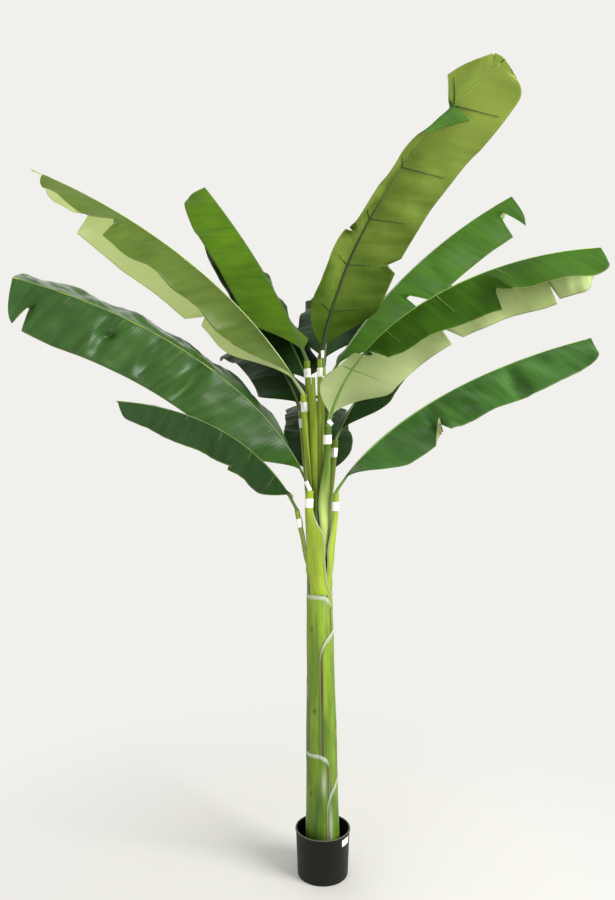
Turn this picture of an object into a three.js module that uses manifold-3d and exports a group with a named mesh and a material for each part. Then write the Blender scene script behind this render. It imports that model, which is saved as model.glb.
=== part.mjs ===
// Artificial banana plant standing in a plain round pot.
// Millimetres, +Z up. The origin is the centre of the pot's flat underside, and the plant's front
// faces -Y.
import * as THREE from "three";
import Module from "manifold-3d";
import { mergeVertices } from "three/addons/utils/BufferGeometryUtils.js";

const wasm = await Module();
wasm.setup();

// ---- Driving dimensions ----

const GAP = 0.3; // clearance between touching pieces

const POT = {
  height: 162,
  rimRadius: 95,
  baseRadius: 87,
  wall: 3,
  floor: 4,
  lip: 8, // height of the thickened rim
  lipOut: 2, // and how far it stands out
  bevel: 1,
  facets: 32,
};
const FILL = { top: 97, socketDepth: 70 };
const LABEL = { side: 27, thickness: 0.6, height: 128, bearing: -39, slant: 24 };

const TRUNK = { top: 1200, footRadius: 57, topRadius: 40, leanX: -15, facets: 20, steps: 9 };
const RING = { outer: 29.5, inner: 10.2 }; // circles on the trunk's cut top where the stalks stand

const STALK = { facets: 8, steps: 6, footRadius: 10.5, innerRadius: 8.4, sunk: 5 };
const BAND = { length: 32, paper: 0.8, slack: 0.7, facets: 10, below: 26 };
const TAG = { length: 27, width: 14, thickness: 0.8, height: 16, slack: 0.9 };

const BLADE = {
  stations: 13, // cross-sections along the rachis
  lastStations: [0.97, 0.985], // two more cross-sections just before the tip
  columns: 3, // strips in each half
  walk: 8, // short steps along the rachis between two cross-sections
  edge: 1, // half the thickness at the margin
  ribBase: 7.5, // half the rachis thickness where it leaves its socket
  ribTip: 1.8,
  petiole: 32, // bare length of the rachis below the blade
  petioleHalf: 8, // and its half-width
  veinSweep: 20, // forward slant of the side veins, in degrees
  tipSweep: 62, // and at the tip
  tipFlat: 20, // how late the two halves flatten out at the very tip
  tipReach: 0.85, // share of the way to the tip that a side vein may lean forward
  openPower: 0.8, // roundness of the outline where it widens
  tipPower: 2.4, // and where it closes at the tip
  tearSpace: 0.75, // a tear keeps other cross-sections this many openings away
};

// Where each stalk stands: "outer" and "inner" are bearings on the trunk's cut top, and
// "side" is a start inside the trunk for a stalk that leaves through the trunk's flank.
// Bearings and azimuths are in degrees from +X, counted towards +Y. The rachis leaves its socket at
// azimuth and elevation, and over its length turns by sweep and sinks by droop.
// open is the share of the length over which the blade widens from its foot, and taperFrom the share
// where it starts to narrow towards its tip.
// Each half blade is [half-width, fold at the foot, fold at the tip, curl]: a fold lifts the half
// above (+) or below (-) the blade's plane at the rachis, and curl is its further turn at the margin.
// Each tear is [side, where along the length, share of the half-width, opening as a share of the
// length, turn of the fold past it]: side is 1 for the right half and -1 for the left, looking from
// the foot to the tip.
const LEAVES = [
  {
    name: "a", side: [-35, -24, 1050], bow: [-56, -46, 1150], socket: [-46, -46, 1335], socketRadius: 13.5,
    azimuth: 194, elevation: 80, length: 1180, droop: 66, droopPower: 0.5, sweep: 0,
    open: 0.2, taperFrom: 0.8,
    right: [130, 24, 24, -10], left: [178, -80, -80, -10],
    tears: [[-1, 0.9, 0.45, 0.04, 0]],
  },
  {
    name: "b", side: [-40, -6, 1080], bow: [-70, -20, 1160], socket: [-88, -36, 1268], socketRadius: 8.5,
    azimuth: 230, elevation: 60, length: 835, droop: 57, droopPower: 0.7, sweep: 0,
    open: 0.22, taperFrom: 0.55,
    right: [66, 0, 0, -10], left: [120, -70, -70, -10],
    tears: [[-1, 0.42, 0.12, 0.03, 0]],
  },
  {
    name: "c", outer: 195, socket: [-66, -12, 1655], socketRadius: 10.5,
    azimuth: 188, elevation: 62, length: 1100, droop: 40, droopPower: 0.8, sweep: 0,
    open: 0.2, taperFrom: 0.62,
    right: [165, -50, -50, -8], left: [150, -46, -46, -10],
    tears: [[-1, 0.72, 0.5, 0.05, 12], [1, 0.34, 0.3, 0.05, -22], [1, 0.8, 0.5, 0.06, 40]],
  },
  {
    name: "d", inner: 180, socket: [-55, 28, 1770], socketRadius: 10,
    azimuth: 127, elevation: 66, length: 1000, droop: 26, droopPower: 0.35, sweep: 0,
    open: 0.2, taperFrom: 0.72,
    right: [150, -40, -40, -10], left: [150, -28, -28, -10],
    tears: [],
  },
  {
    name: "e", inner: 300, socket: [-12, -32, 1772], socketRadius: 8.5,
    azimuth: -46, elevation: 78, length: 1060, droop: 50, droopPower: 0.85, sweep: 12,
    open: 0.16, taperFrom: 0.74,
    right: [150, -15, -15, 0], left: [165, -42, -42, 0],
    tears: [[1, 0.38, 0.3, 0.03, -12], [1, 0.76, 0.6, 0.04, 22], [-1, 0.3, 0.2, 0.05, 0]],
  },
  {
    name: "f", outer: 60, socket: [26, 50, 1715], socketRadius: 10,
    azimuth: 31, elevation: 66, length: 1120, droop: 38, droopPower: 0.5, sweep: 0,
    open: 0.2, taperFrom: 0.86,
    right: [150, -60, -60, -10], left: [150, -40, -40, -10],
    tears: [[1, 0.36, 0.6, 0.06, 0], [1, 0.88, 0.7, 0.08, 0]],
  },
  {
    name: "g", outer: 318, socket: [15, -42, 1548], socketRadius: 12.5,
    azimuth: -60, elevation: 74, length: 1095, droop: 69, droopPower: 0.6, sweep: 75,
    open: 0.18, taperFrom: 0.76,
    right: [150, 10, -25, -10], left: [165, -66, -80, 0],
    tears: [[1, 0.2, 0.6, 0.06, -50], [1, 0.62, 0.4, 0.04, 30], [-1, 0.4, 0.35, 0.05, 0]],
  },
  {
    name: "h", side: [20, -10, 1050], bow: [38, -28, 1150], socket: [42, -36, 1325], socketRadius: 10.5,
    azimuth: -10, elevation: 72, length: 975, droop: 58, droopPower: 0.45, sweep: 0,
    open: 0.22, taperFrom: 0.72,
    right: [150, -60, -60, -10], left: [140, -30, -30, -10],
    tears: [],
  },
  {
    name: "i", outer: 105, socket: [-42, 55, 1680], socketRadius: 10,
    azimuth: 121, elevation: 52, length: 960, droop: 18, droopPower: 1, sweep: 0,
    open: 0.28, taperFrom: 0.7,
    right: [120, -20, -20, -10], left: [140, -15, -15, -15],
    tears: [],
  },
  {
    name: "j", outer: 150, socket: [-75, 48, 1600], socketRadius: 10,
    azimuth: 115, elevation: 50, length: 760, droop: 60, droopPower: 1, sweep: 0,
    open: 0.2, taperFrom: 0.7,
    right: [125, -25, -25, -15], left: [125, -25, -25, -15],
    tears: [],
  },
  {
    name: "k", side: [-10, 22, 1070], bow: [-12, 52, 1160], socket: [-10, 62, 1330], socketRadius: 10,
    azimuth: 91, elevation: 58, length: 850, droop: 75, droopPower: 1, sweep: 0,
    open: 0.2, taperFrom: 0.7,
    right: [140, -8, -8, -25], left: [140, -8, -8, -25],
    tears: [],
  },
  {
    name: "l", inner: 60, socket: [0, 28, 1745], socketRadius: 9,
    azimuth: 82, elevation: 50, length: 1060, droop: 60, droopPower: 1, sweep: 0,
    open: 0.2, taperFrom: 0.7,
    right: [140, -20, -20, -15], left: [140, -12, -12, -10],
    tears: [],
  },
  {
    name: "m", outer: 15, socket: [42, 20, 1500], socketRadius: 10,
    azimuth: 38, elevation: 60, length: 820, droop: 30, droopPower: 1, sweep: 0,
    open: 0.2, taperFrom: 0.7,
    right: [125, -30, -30, -10], left: [125, -35, -35, -10],
    tears: [],
  },
];
const CUT_STALK = { name: "cut", outer: 240, socket: [-34, -22, 1712], socketRadius: 8.5 };
const TAGS = { a: 8, e: 12, g: 50 }; // leaves whose socket also holds a small card, and the card's slant

// ---- Materials ----

function finish(color, roughness) {
  return new THREE.MeshStandardMaterial({ color, roughness, metalness: 0 });
}

const FINISH = {
  pot: finish(0x2e3029, 0.55),
  fill: finish(0x8d8a84, 0.95),
  trunk: finish(0x93ad3c, 0.5),
  stalk: finish(0xa3bd4b, 0.5),
  leaf: finish(0x3f7a32, 0.45),
  paper: finish(0xf4f3ef, 0.85),
};

const plant = new THREE.Group();

function add(name, geometry, material) {
  const mesh = new THREE.Mesh(geometry, material.clone());
  mesh.name = name;
  plant.add(mesh);
  return mesh;
}

// ---- Shape helpers ----

const radians = THREE.MathUtils.degToRad;

// A closed skin over rings of points that all have the same even count. The first and last ring are
// closed by strips, and each ring runs counter-clockwise seen from the end that the rings run to.
// The first quads of each ring, as many as mirrored says, are split along their other diagonal, so
// that the two faces of a thin twisted blade stay parallel.
function skin(rings, mirrored = 0) {
  const count = rings[0].length;
  const points = rings.flat();
  const index = [];
  for (let ring = 0; ring < rings.length - 1; ring += 1) {
    for (let side = 0; side < count; side += 1) {
      const next = (side + 1) % count;
      const a = ring * count + side;
      const b = ring * count + next;
      if (side < mirrored) {
        index.push(a, b, a + count, b, b + count, a + count);
      } else {
        index.push(a, b, b + count, a, b + count, a + count);
      }
    }
  }
  const last = (rings.length - 1) * count;
  for (let side = 0; side < count / 2 - 1; side += 1) {
    const opposite = count - 1 - side;
    index.push(side, opposite - 1, side + 1, side, opposite, opposite - 1);
    index.push(last + side, last + side + 1, last + opposite - 1);
    index.push(last + side, last + opposite - 1, last + opposite);
  }
  const geometry = new THREE.BufferGeometry().setFromPoints(points);
  geometry.setIndex(index);
  return geometry;
}

// A round tapering limb along a curve, with flat ends.
function limb(curve, radiusAt, facets, steps) {
  const frames = curve.computeFrenetFrames(steps, false);
  const rings = [];
  for (let step = 0; step <= steps; step += 1) {
    const share = step / steps;
    const centre = curve.getPointAt(share);
    const ring = [];
    for (let side = 0; side < facets; side += 1) {
      const angle = (2 * Math.PI * side) / facets;
      const offset = frames.normals[step].clone().multiplyScalar(Math.cos(angle));
      offset.addScaledVector(frames.binormals[step], Math.sin(angle));
      ring.push(centre.clone().addScaledVector(offset, radiusAt(share)));
    }
    rings.push(ring);
  }
  return skin(rings);
}

function toSolid(geometry) {
  const bare = geometry.clone();
  bare.deleteAttribute("normal");
  bare.deleteAttribute("uv");
  const merged = mergeVertices(bare);
  return new wasm.Manifold(
    new wasm.Mesh({
      numProp: 3,
      vertProperties: new Float32Array(merged.attributes.position.array),
      triVerts: new Uint32Array(merged.index.array),
    }),
  );
}

function toGeometry(solid) {
  const mesh = solid.getMesh();
  const geometry = new THREE.BufferGeometry();
  geometry.setAttribute("position", new THREE.BufferAttribute(new Float32Array(mesh.vertProperties), 3));
  geometry.setIndex(new THREE.BufferAttribute(new Uint32Array(mesh.triVerts), 1));
  return geometry;
}

function ringPoint(centre, radius, angle, z) {
  return new THREE.Vector3(centre + radius * Math.cos(angle), radius * Math.sin(angle), z);
}

// ---- Pot, its weight and its label ----

function potRadius(z) {
  return THREE.MathUtils.lerp(POT.baseRadius, POT.rimRadius - POT.lipOut, z / POT.height);
}

function buildPot() {
  const lipFoot = POT.height - POT.lip;
  const profile = [
    new THREE.Vector2(0, 0),
    new THREE.Vector2(POT.baseRadius, 0),
    new THREE.Vector2(potRadius(lipFoot), lipFoot),
    new THREE.Vector2(POT.rimRadius, lipFoot + POT.lipOut),
    new THREE.Vector2(POT.rimRadius, POT.height - POT.bevel),
    new THREE.Vector2(POT.rimRadius - POT.bevel, POT.height),
    new THREE.Vector2(potRadius(POT.height) - POT.wall, POT.height),
    new THREE.Vector2(POT.baseRadius - POT.wall, POT.floor),
    new THREE.Vector2(0, POT.floor),
  ];
  const geometry = new THREE.LatheGeometry(profile, POT.facets);
  geometry.rotateX(Math.PI / 2);
  add("pot", geometry, FINISH.pot);
}

// The cast weight in the foot of the pot, with the trunk's socket sunk in it.
function buildFill() {
  const foot = POT.floor + GAP;
  const socketFloor = FILL.top - FILL.socketDepth;
  const facetSlack = 1 / Math.cos(Math.PI / POT.facets);
  const profile = [
    new THREE.Vector2(0, foot),
    new THREE.Vector2((potRadius(foot) - POT.wall) / facetSlack - GAP, foot),
    new THREE.Vector2((potRadius(FILL.top) - POT.wall) / facetSlack - GAP, FILL.top),
    new THREE.Vector2(TRUNK.footRadius + 2 * GAP, FILL.top),
    new THREE.Vector2(TRUNK.footRadius + 2 * GAP, socketFloor),
    new THREE.Vector2(0, socketFloor),
  ];
  const geometry = new THREE.LatheGeometry(profile, TRUNK.facets);
  geometry.rotateX(Math.PI / 2);
  add("pot_fill", geometry, FINISH.fill);
}

function buildLabel() {
  const geometry = new THREE.BoxGeometry(LABEL.thickness, LABEL.side, LABEL.side);
  const mesh = add("pot_label", geometry, FINISH.paper);
  const bearing = radians(LABEL.bearing);
  const reach = potRadius(LABEL.height + LABEL.side / 2) + GAP + LABEL.thickness;
  mesh.position.set(reach * Math.cos(bearing), reach * Math.sin(bearing), LABEL.height);
  mesh.rotation.set(0, 0, bearing);
  mesh.rotateX(radians(LABEL.slant));
}

// ---- Trunk ----

function trunkCentre(z) {
  const free = (z - FILL.top) / (TRUNK.top - FILL.top);
  return TRUNK.leanX * Math.max(0, free);
}

function trunkRadius(z) {
  const free = Math.max(0, (z - FILL.top) / (TRUNK.top - FILL.top));
  return THREE.MathUtils.lerp(TRUNK.footRadius, TRUNK.topRadius, free);
}

function trunkGeometry(clearance) {
  const foot = FILL.top - FILL.socketDepth + GAP;
  const heights = [foot];
  for (let step = 0; step <= TRUNK.steps; step += 1) {
    heights.push(THREE.MathUtils.lerp(FILL.top, TRUNK.top + clearance, step / TRUNK.steps));
  }
  const rings = heights.map((z) => {
    const ring = [];
    for (let side = 0; side < TRUNK.facets; side += 1) {
      const angle = (2 * Math.PI * side) / TRUNK.facets;
      ring.push(ringPoint(trunkCentre(z), trunkRadius(z) + clearance, angle, z));
    }
    return ring;
  });
  return skin(rings);
}

// ---- Leaf blades ----

// Unit vectors of the blade at a share of its length: along the rachis, to its right, and up
// from its face.
function bladeAxes(leaf, share) {
  const azimuth = radians(leaf.azimuth + leaf.sweep * share);
  const elevation = radians(leaf.elevation - leaf.droop * share ** leaf.droopPower);
  const along = new THREE.Vector3(
    Math.cos(elevation) * Math.cos(azimuth),
    Math.cos(elevation) * Math.sin(azimuth),
    Math.sin(elevation),
  );
  const right = new THREE.Vector3(Math.sin(azimuth), -Math.cos(azimuth), 0);
  const up = right.clone().cross(along);
  return { along, right, up };
}

// Where the rachis starts: just far enough above its stalk for the lowest point of its first
// cross-section to clear the stalk's flat end.
function bladeFoot(leaf) {
  const { along, right, up } = bladeAxes(leaf, 0);
  const stalkEnd = stalkCurve(leaf).getTangentAt(1);
  const lean = Math.abs(stalkEnd.dot(up));
  const keelDrop = BLADE.ribBase * lean;
  const sideDrop = BLADE.petioleHalf * Math.abs(stalkEnd.dot(right)) + BLADE.edge * lean;
  const lift = (GAP + Math.max(keelDrop, sideDrop)) / stalkEnd.dot(along);
  return new THREE.Vector3(...leaf.socket).addScaledVector(along, lift);
}

// The rachis at each share of its length, found by walking along it in short steps.
function rachisPoints(leaf, shares) {
  const point = bladeFoot(leaf);
  let reached = 0;
  return shares.map((share) => {
    const stride = (share - reached) / BLADE.walk;
    for (let step = 0; step < BLADE.walk; step += 1) {
      const middle = reached + (step + 0.5) * stride;
      point.addScaledVector(bladeAxes(leaf, middle).along, leaf.length * stride);
    }
    reached = share;
    return point.clone();
  });
}

// How far a share of the length lies into the part that narrows towards the tip, from 0 to 1.
function tipShare(leaf, share) {
  return Math.max(0, (share - leaf.taperFrom) / (1 - leaf.taperFrom));
}

// Share of the full half-width that the blade has at a share of its length.
function bladeOutline(leaf, share) {
  const opening = THREE.MathUtils.smoothstep(share, BLADE.petiole / leaf.length, leaf.open);
  const closing = tipShare(leaf, share) ** BLADE.tipPower;
  return opening ** BLADE.openPower * Math.sqrt(Math.max(0, 1 - closing));
}

// What the tears of one half leave of its width there: each is a notch with straight sides.
function tearOutline(leaf, share, side) {
  let left = 1;
  for (const [tornSide, at, depth, opening] of leaf.tears) {
    const away = Math.abs(share - at) / (opening / 2);
    if (tornSide === side && away < 1) {
      left = Math.min(left, 1 - depth * (1 - away));
    }
  }
  return left;
}

// How far the tears between the foot and this share have turned the fold of one half, in degrees.
function tearTurn(leaf, share, side) {
  let turned = 0;
  for (const [tornSide, at, , opening, turn] of leaf.tears) {
    if (tornSide === side) {
      turned += turn * THREE.MathUtils.clamp((share - at) / opening + 0.5, 0, 1);
    }
  }
  return turned;
}

// The shares of the length where the blade has a cross-section: even steps, one at the end of the
// petiole, two just before the tip, and three at each tear.
function stationShares(leaf) {
  const shares = [];
  for (let station = 0; station < BLADE.stations; station += 1) {
    shares.push(station / (BLADE.stations - 1));
  }
  shares.push(BLADE.petiole / leaf.length, ...BLADE.lastStations);
  for (const [, at, , opening] of leaf.tears) {
    const clear = shares.filter((share) => Math.abs(share - at) > opening * BLADE.tearSpace);
    shares.splice(0, shares.length, ...clear, at - opening / 2, at, at + opening / 2);
  }
  return shares.sort((one, other) => one - other);
}

// Spots from the rachis to the margin along one side vein, each with the normal of the blade's upper
// face there. side is 1 for the right half and -1 for the left.
function vein(leaf, point, share, side, columns) {
  const [halfWidth, footFold, tipFold, curl] = side > 0 ? leaf.right : leaf.left;
  const { along, right, up } = bladeAxes(leaf, share);
  const opened = THREE.MathUtils.smoothstep(share, BLADE.petiole / leaf.length, leaf.open);
  const folded = opened * (1 - tipShare(leaf, share) ** BLADE.tipFlat);
  const fold = folded * (THREE.MathUtils.lerp(footFold, tipFold, share) + tearTurn(leaf, share, side));
  const outline = bladeOutline(leaf, share) * tearOutline(leaf, share, side);
  const petioleHalf = THREE.MathUtils.lerp(BLADE.petioleHalf, BLADE.ribTip, share);
  const width = Math.max(petioleHalf, halfWidth * outline);
  const slant = THREE.MathUtils.lerp(opened * BLADE.veinSweep, BLADE.tipSweep, tipShare(leaf, share));
  const tipRoom = (BLADE.tipReach * (1 - share) * leaf.length) / width;
  const sweep = Math.asin(Math.min(Math.sin(radians(slant)), tipRoom));
  const spot = point.clone();
  const spots = [];
  for (let column = 1; column <= columns; column += 1) {
    const tilt = radians(fold + (curl * (column - 0.5)) / columns);
    const across = right.clone().multiplyScalar(side * Math.cos(tilt));
    across.addScaledVector(up, Math.sin(tilt));
    const reach = width / columns;
    spot.addScaledVector(across, reach * Math.cos(sweep));
    spot.addScaledVector(along, reach * Math.sin(sweep));
    const turned = radians(fold + (curl * column) / columns);
    const normal = up.clone().multiplyScalar(Math.cos(turned));
    normal.addScaledVector(right, -side * Math.sin(turned));
    spots.push({ spot: spot.clone(), normal });
  }
  return spots;
}

function bladeGeometry(leaf) {
  const shares = stationShares(leaf);
  const points = rachisPoints(leaf, shares);
  const rings = points.map((point, station) => {
    const share = shares[station];
    const { up } = bladeAxes(leaf, share);
    const rib = THREE.MathUtils.lerp(BLADE.ribBase, BLADE.ribTip, share);
    const left = vein(leaf, point, share, -1, BLADE.columns).reverse();
    const right = vein(leaf, point, share, 1, BLADE.columns);
    const row = [...left, { spot: point, normal: up }, ...right];
    const face = (sign) =>
      row.map(({ spot, normal }, number) => {
        const thickness = number === BLADE.columns ? rib : BLADE.edge;
        return spot.clone().addScaledVector(normal, sign * thickness);
      });
    return [...face(-1).reverse(), ...face(1)];
  });
  return skin(rings, 2 * BLADE.columns);
}

// ---- Stalks, paper bands and tags ----

function stalkFoot(leaf) {
  const ring = leaf.inner === undefined ? RING.outer : RING.inner;
  const bearing = radians(leaf.inner === undefined ? leaf.outer : leaf.inner);
  return ringPoint(TRUNK.leanX, ring, bearing, TRUNK.top - STALK.sunk);
}

function stalkCurve(leaf) {
  const socket = new THREE.Vector3(...leaf.socket);
  if (!leaf.side) {
    return new THREE.LineCurve3(stalkFoot(leaf), socket);
  }
  const start = new THREE.Vector3(...leaf.side);
  return new THREE.QuadraticBezierCurve3(start, new THREE.Vector3(...leaf.bow), socket);
}

function buildStalk(leaf, trunkSpace) {
  const curve = stalkCurve(leaf);
  const footRadius = leaf.inner === undefined ? STALK.footRadius : STALK.innerRadius;
  const radiusAt = (share) => THREE.MathUtils.lerp(footRadius, leaf.socketRadius, share);
  const steps = leaf.side ? STALK.steps : 1;
  const geometry = limb(curve, radiusAt, STALK.facets, steps);
  const outside = toSolid(geometry).subtract(trunkSpace).decompose();
  outside.sort((one, other) => other.volume() - one.volume());
  add(`stalk_${leaf.name}`, toGeometry(outside[0]), FINISH.stalk);
}

// The paper sleeve wrapped round the top of a stalk.
function buildBand(leaf) {
  const curve = stalkCurve(leaf);
  const length = curve.getLength();
  const middle = 1 - (BAND.below + BAND.length / 2) / length;
  const hollow = (leaf.socketRadius + BAND.slack) / Math.cos(Math.PI / BAND.facets);
  const profile = [
    new THREE.Vector2(hollow, -BAND.length / 2),
    new THREE.Vector2(hollow + BAND.paper, -BAND.length / 2),
    new THREE.Vector2(hollow + BAND.paper, BAND.length / 2),
    new THREE.Vector2(hollow, BAND.length / 2),
    new THREE.Vector2(hollow, -BAND.length / 2),
  ];
  const mesh = add(`band_${leaf.name}`, new THREE.LatheGeometry(profile, BAND.facets), FINISH.paper);
  mesh.position.copy(curve.getPointAt(middle));
  mesh.quaternion.setFromUnitVectors(new THREE.Vector3(0, 1, 0), curve.getTangentAt(middle));
}

// The small card tucked against the outer side of a rachis, just above its socket.
function buildTag(leaf) {
  const card = new THREE.BoxGeometry(TAG.length, TAG.width, TAG.thickness);
  const mesh = add(`tag_${leaf.name}`, card, FINISH.paper);
  const share = TAG.height / leaf.length;
  const [, middle] = rachisPoints(leaf, [0, share]);
  const { along, right, up } = bladeAxes(leaf, share);
  const keel = THREE.MathUtils.lerp(BLADE.ribBase, BLADE.ribTip, share);
  mesh.position.copy(middle).addScaledVector(up, -(keel + TAG.slack + TAG.thickness / 2));
  mesh.quaternion.setFromRotationMatrix(new THREE.Matrix4().makeBasis(along, right, up.clone().negate()));
  mesh.rotateZ(radians(TAGS[leaf.name]));
}

plant.name = "banana_plant";
buildPot();
buildFill();
buildLabel();
add("trunk", trunkGeometry(0), FINISH.trunk);
const trunkSpace = toSolid(trunkGeometry(GAP));
for (const leaf of LEAVES) {
  buildStalk(leaf, trunkSpace);
  buildBand(leaf);
  add(`leaf_${leaf.name}`, bladeGeometry(leaf), FINISH.leaf);
  if (TAGS[leaf.name]) {
    buildTag(leaf);
  }
}
buildStalk(CUT_STALK, trunkSpace);

export default plant;
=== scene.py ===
# %% [markdown]
# # An artificial banana plant in a nursery pot
# Long printed leaves are plugged into stalks at the top of a trunk that is moulded as overlapping leaf
# sheaths, and the whole stands in a plain black pot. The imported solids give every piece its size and
# place. This script keeps those places and gives each piece its fine shape and its finish.
#
# The solids could have been painted as they are, but a banana leaf is mostly fold, ripple and vein. So
# each solid is replaced by a finer mesh that follows the same rachis, the same folds and the same tears.

# %% Load the frame
import math

import bmesh
import bpy
from mathutils import Matrix, Vector, noise


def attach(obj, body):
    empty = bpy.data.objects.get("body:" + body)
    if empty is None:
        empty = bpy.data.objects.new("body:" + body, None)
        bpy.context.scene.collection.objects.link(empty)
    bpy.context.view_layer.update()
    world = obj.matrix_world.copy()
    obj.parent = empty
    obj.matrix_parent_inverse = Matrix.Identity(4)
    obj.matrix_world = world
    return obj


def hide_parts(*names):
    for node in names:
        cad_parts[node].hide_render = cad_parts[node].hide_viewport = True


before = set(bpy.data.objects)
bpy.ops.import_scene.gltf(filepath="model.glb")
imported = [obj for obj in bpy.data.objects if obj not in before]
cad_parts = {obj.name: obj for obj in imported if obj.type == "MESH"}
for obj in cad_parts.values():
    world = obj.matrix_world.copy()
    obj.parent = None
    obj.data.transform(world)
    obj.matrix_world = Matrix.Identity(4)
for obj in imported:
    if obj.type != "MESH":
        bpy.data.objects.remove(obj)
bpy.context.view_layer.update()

# %% [markdown]
# ## Small helpers
# Blender's shader nodes take linear colours, while a colour given as a hex value is sRGB. One function
# turns one into the other. A second adds a node and joins it up in one call: `inputs` maps a socket to a
# plain value or to another node, and keywords are the node's own settings.

# %% Colour and node helpers
def linear(hex_colour):
    """An sRGB hex colour as the linear RGBA that nodes take."""
    channels = [int(hex_colour[start:start + 2], 16) / 255 for start in (1, 3, 5)]
    toned = [c / 12.92 if c <= 0.04045 else ((c + 0.055) / 1.055) ** 2.4 for c in channels]
    return (*toned, 1.0)


def add_node(tree, kind, inputs=None, **settings):
    """Adds a node, sets it up and joins its inputs. A node given as a value means its first output."""
    made = tree.nodes.new("ShaderNode" + kind)
    for key, value in settings.items():
        setattr(made, key, value)
    for socket, value in (inputs or {}).items():
        if isinstance(value, bpy.types.Node):
            value = value.outputs[0]
        if isinstance(value, bpy.types.NodeSocket):
            tree.links.new(value, made.inputs[socket])
        else:
            made.inputs[socket].default_value = value
    return made


def new_material(name):
    """A node material that is still empty, and its tree."""
    material = bpy.data.materials.new(name)
    material.use_nodes = True
    material.node_tree.nodes.clear()
    return material, material.node_tree


MIX_A, MIX_B, MIX_RESULT = 6, 7, 2  # sockets of a Mix node that mixes colours
print("pure white is", linear("#FFFFFF"))

# %% [markdown]
# A pattern needs to know where it is on a piece. A leaf and a stalk carry a UV map in metres: along
# the rib or the stalk, and across it. That keeps a vein 10 mm wide everywhere, whatever the fold does.
# Marks, such as a sheath's pale rim, are number attributes on the mesh.

# %% Grid helpers
def grid_verts(bm, rows, columns):
    """A grid of faces, and its vertices as (row, column, vertex)."""
    bmesh.ops.create_grid(bm, x_segments=rows, y_segments=columns, size=0.5)
    return [(round((v.co.x + 0.5) * rows), round((v.co.y + 0.5) * columns), v) for v in bm.verts]


def map_uv(bm, name, spots):
    """Writes a UV map from a dictionary of vertex index to (u, v)."""
    layer = bm.loops.layers.uv.new(name)
    for face in bm.faces:
        for loop in face.loops:
            loop[layer].uv = spots[loop.vert.index]


def tube(rings, lengths, marks=None):
    """A closed tube through rings of points: u runs along it in metres, v once round it."""
    bm = bmesh.new()
    sides = len(rings[0])
    spots = {}
    layers = {name: bm.verts.layers.float.new(name) for name in (marks or {})}
    placed = grid_verts(bm, len(rings) - 1, sides)
    bm.verts.index_update()
    for row, column, vert in placed:
        spots[vert.index] = (lengths[row], column / sides)
        for name, layer in layers.items():
            vert[layer] = marks[name][row][column % sides]
    map_uv(bm, "wrap", spots)
    for row, column, vert in placed:
        vert.co = rings[row][column % sides]
    bmesh.ops.remove_doubles(bm, verts=bm.verts, dist=1e-6)
    bmesh.ops.holes_fill(bm, edges=[edge for edge in bm.edges if edge.is_boundary])
    bmesh.ops.recalc_face_normals(bm, faces=bm.faces)
    return bm


print("a grid of 2 by 3 faces has", len(grid_verts(bmesh.new(), 2, 3)), "vertices")

# %% [markdown]
# Every piece is made the same way: its bmesh becomes a mesh with materials, then an object, and two
# calls say what it moves with and hide the solid that it stands for.

# %% Piece helpers
def put(name, data):
    """A new object in the scene."""
    made = bpy.data.objects.new(name, data)
    bpy.context.scene.collection.objects.link(made)
    return made


def mesh_of(name, bm, materials):
    """A bmesh as a mesh with its materials."""
    mesh = bpy.data.meshes.new(name)
    bm.to_mesh(mesh)
    bm.free()
    for material in materials:
        mesh.materials.append(material)
    return mesh


def make_piece(name, bm, materials, stands_for):
    """Turns a bmesh into a finished object that rides on the plant."""
    mesh = mesh_of(name, bm, materials)
    mesh.shade_smooth()
    piece = put(name, mesh)
    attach(piece, "root")
    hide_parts(*stands_for)
    return piece


def thicken(piece, thick, offset):
    """Gives a sheet a thickness: offset -1 keeps it as the outer face, and 0 as the middle."""
    shell = piece.modifiers.new("thickness", "SOLIDIFY")
    shell.thickness = thick
    shell.offset = offset
    return shell


def blend(one, other, share):
    """The value a share of the way from one to the other."""
    return one + (other - one) * share


def smooth(value, low, high):
    """0 below low, 1 above high, and an S curve between."""
    share = min(1.0, max(0.0, (value - low) / (high - low)))
    return share * share * (3 - 2 * share)


def bearing_from(one, other):
    """Degrees from one bearing round to another, between -180 and 180."""
    return (other - one + 180) % 360 - 180


print("from 350 round to 10 degrees is", bearing_from(350, 10))

# %% [markdown]
# ## Camera, light and floor
# The plant is over 2.5 m tall and stands close to the camera, so a short lens matters: it makes the
# leaves that reach forward look large. The camera looks along +Y and 3 degrees down.

# %% Camera
LENS, SENSOR = 32.0, 36.0  # millimetres
EYE = Vector((-0.053, -2.70, 1.61))
LOOK_DOWN = 3.0  # degrees

camera_data = bpy.data.cameras.new("camera")
camera_data.lens = LENS
camera_data.sensor_width = SENSOR
camera = put("camera", camera_data)
camera.location = EYE
camera.rotation_euler = (math.radians(90 - LOOK_DOWN), 0, 0)
bpy.context.scene.camera = camera
print("camera", tuple(EYE), "lens", LENS)

# %% [markdown]
# Cloth shows a hard white spot under a small lamp, so all three lamps are large soft boxes. The key lamp,
# high on the right, gives the leaves their gloss. A weak fill stands low on the left, and a bounce lamp
# behind the plant shines through the cloth. The surround is bright and even, and opens the shadows.

# %% Surround and lamps
SURROUND = "#F1F0ED"
bpy.context.scene.view_settings.view_transform = "Standard"

world = bpy.data.worlds.new("studio")
world.use_nodes = True
world.node_tree.nodes["Background"].inputs["Color"].default_value = linear(SURROUND)
bpy.context.scene.world = world


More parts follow.
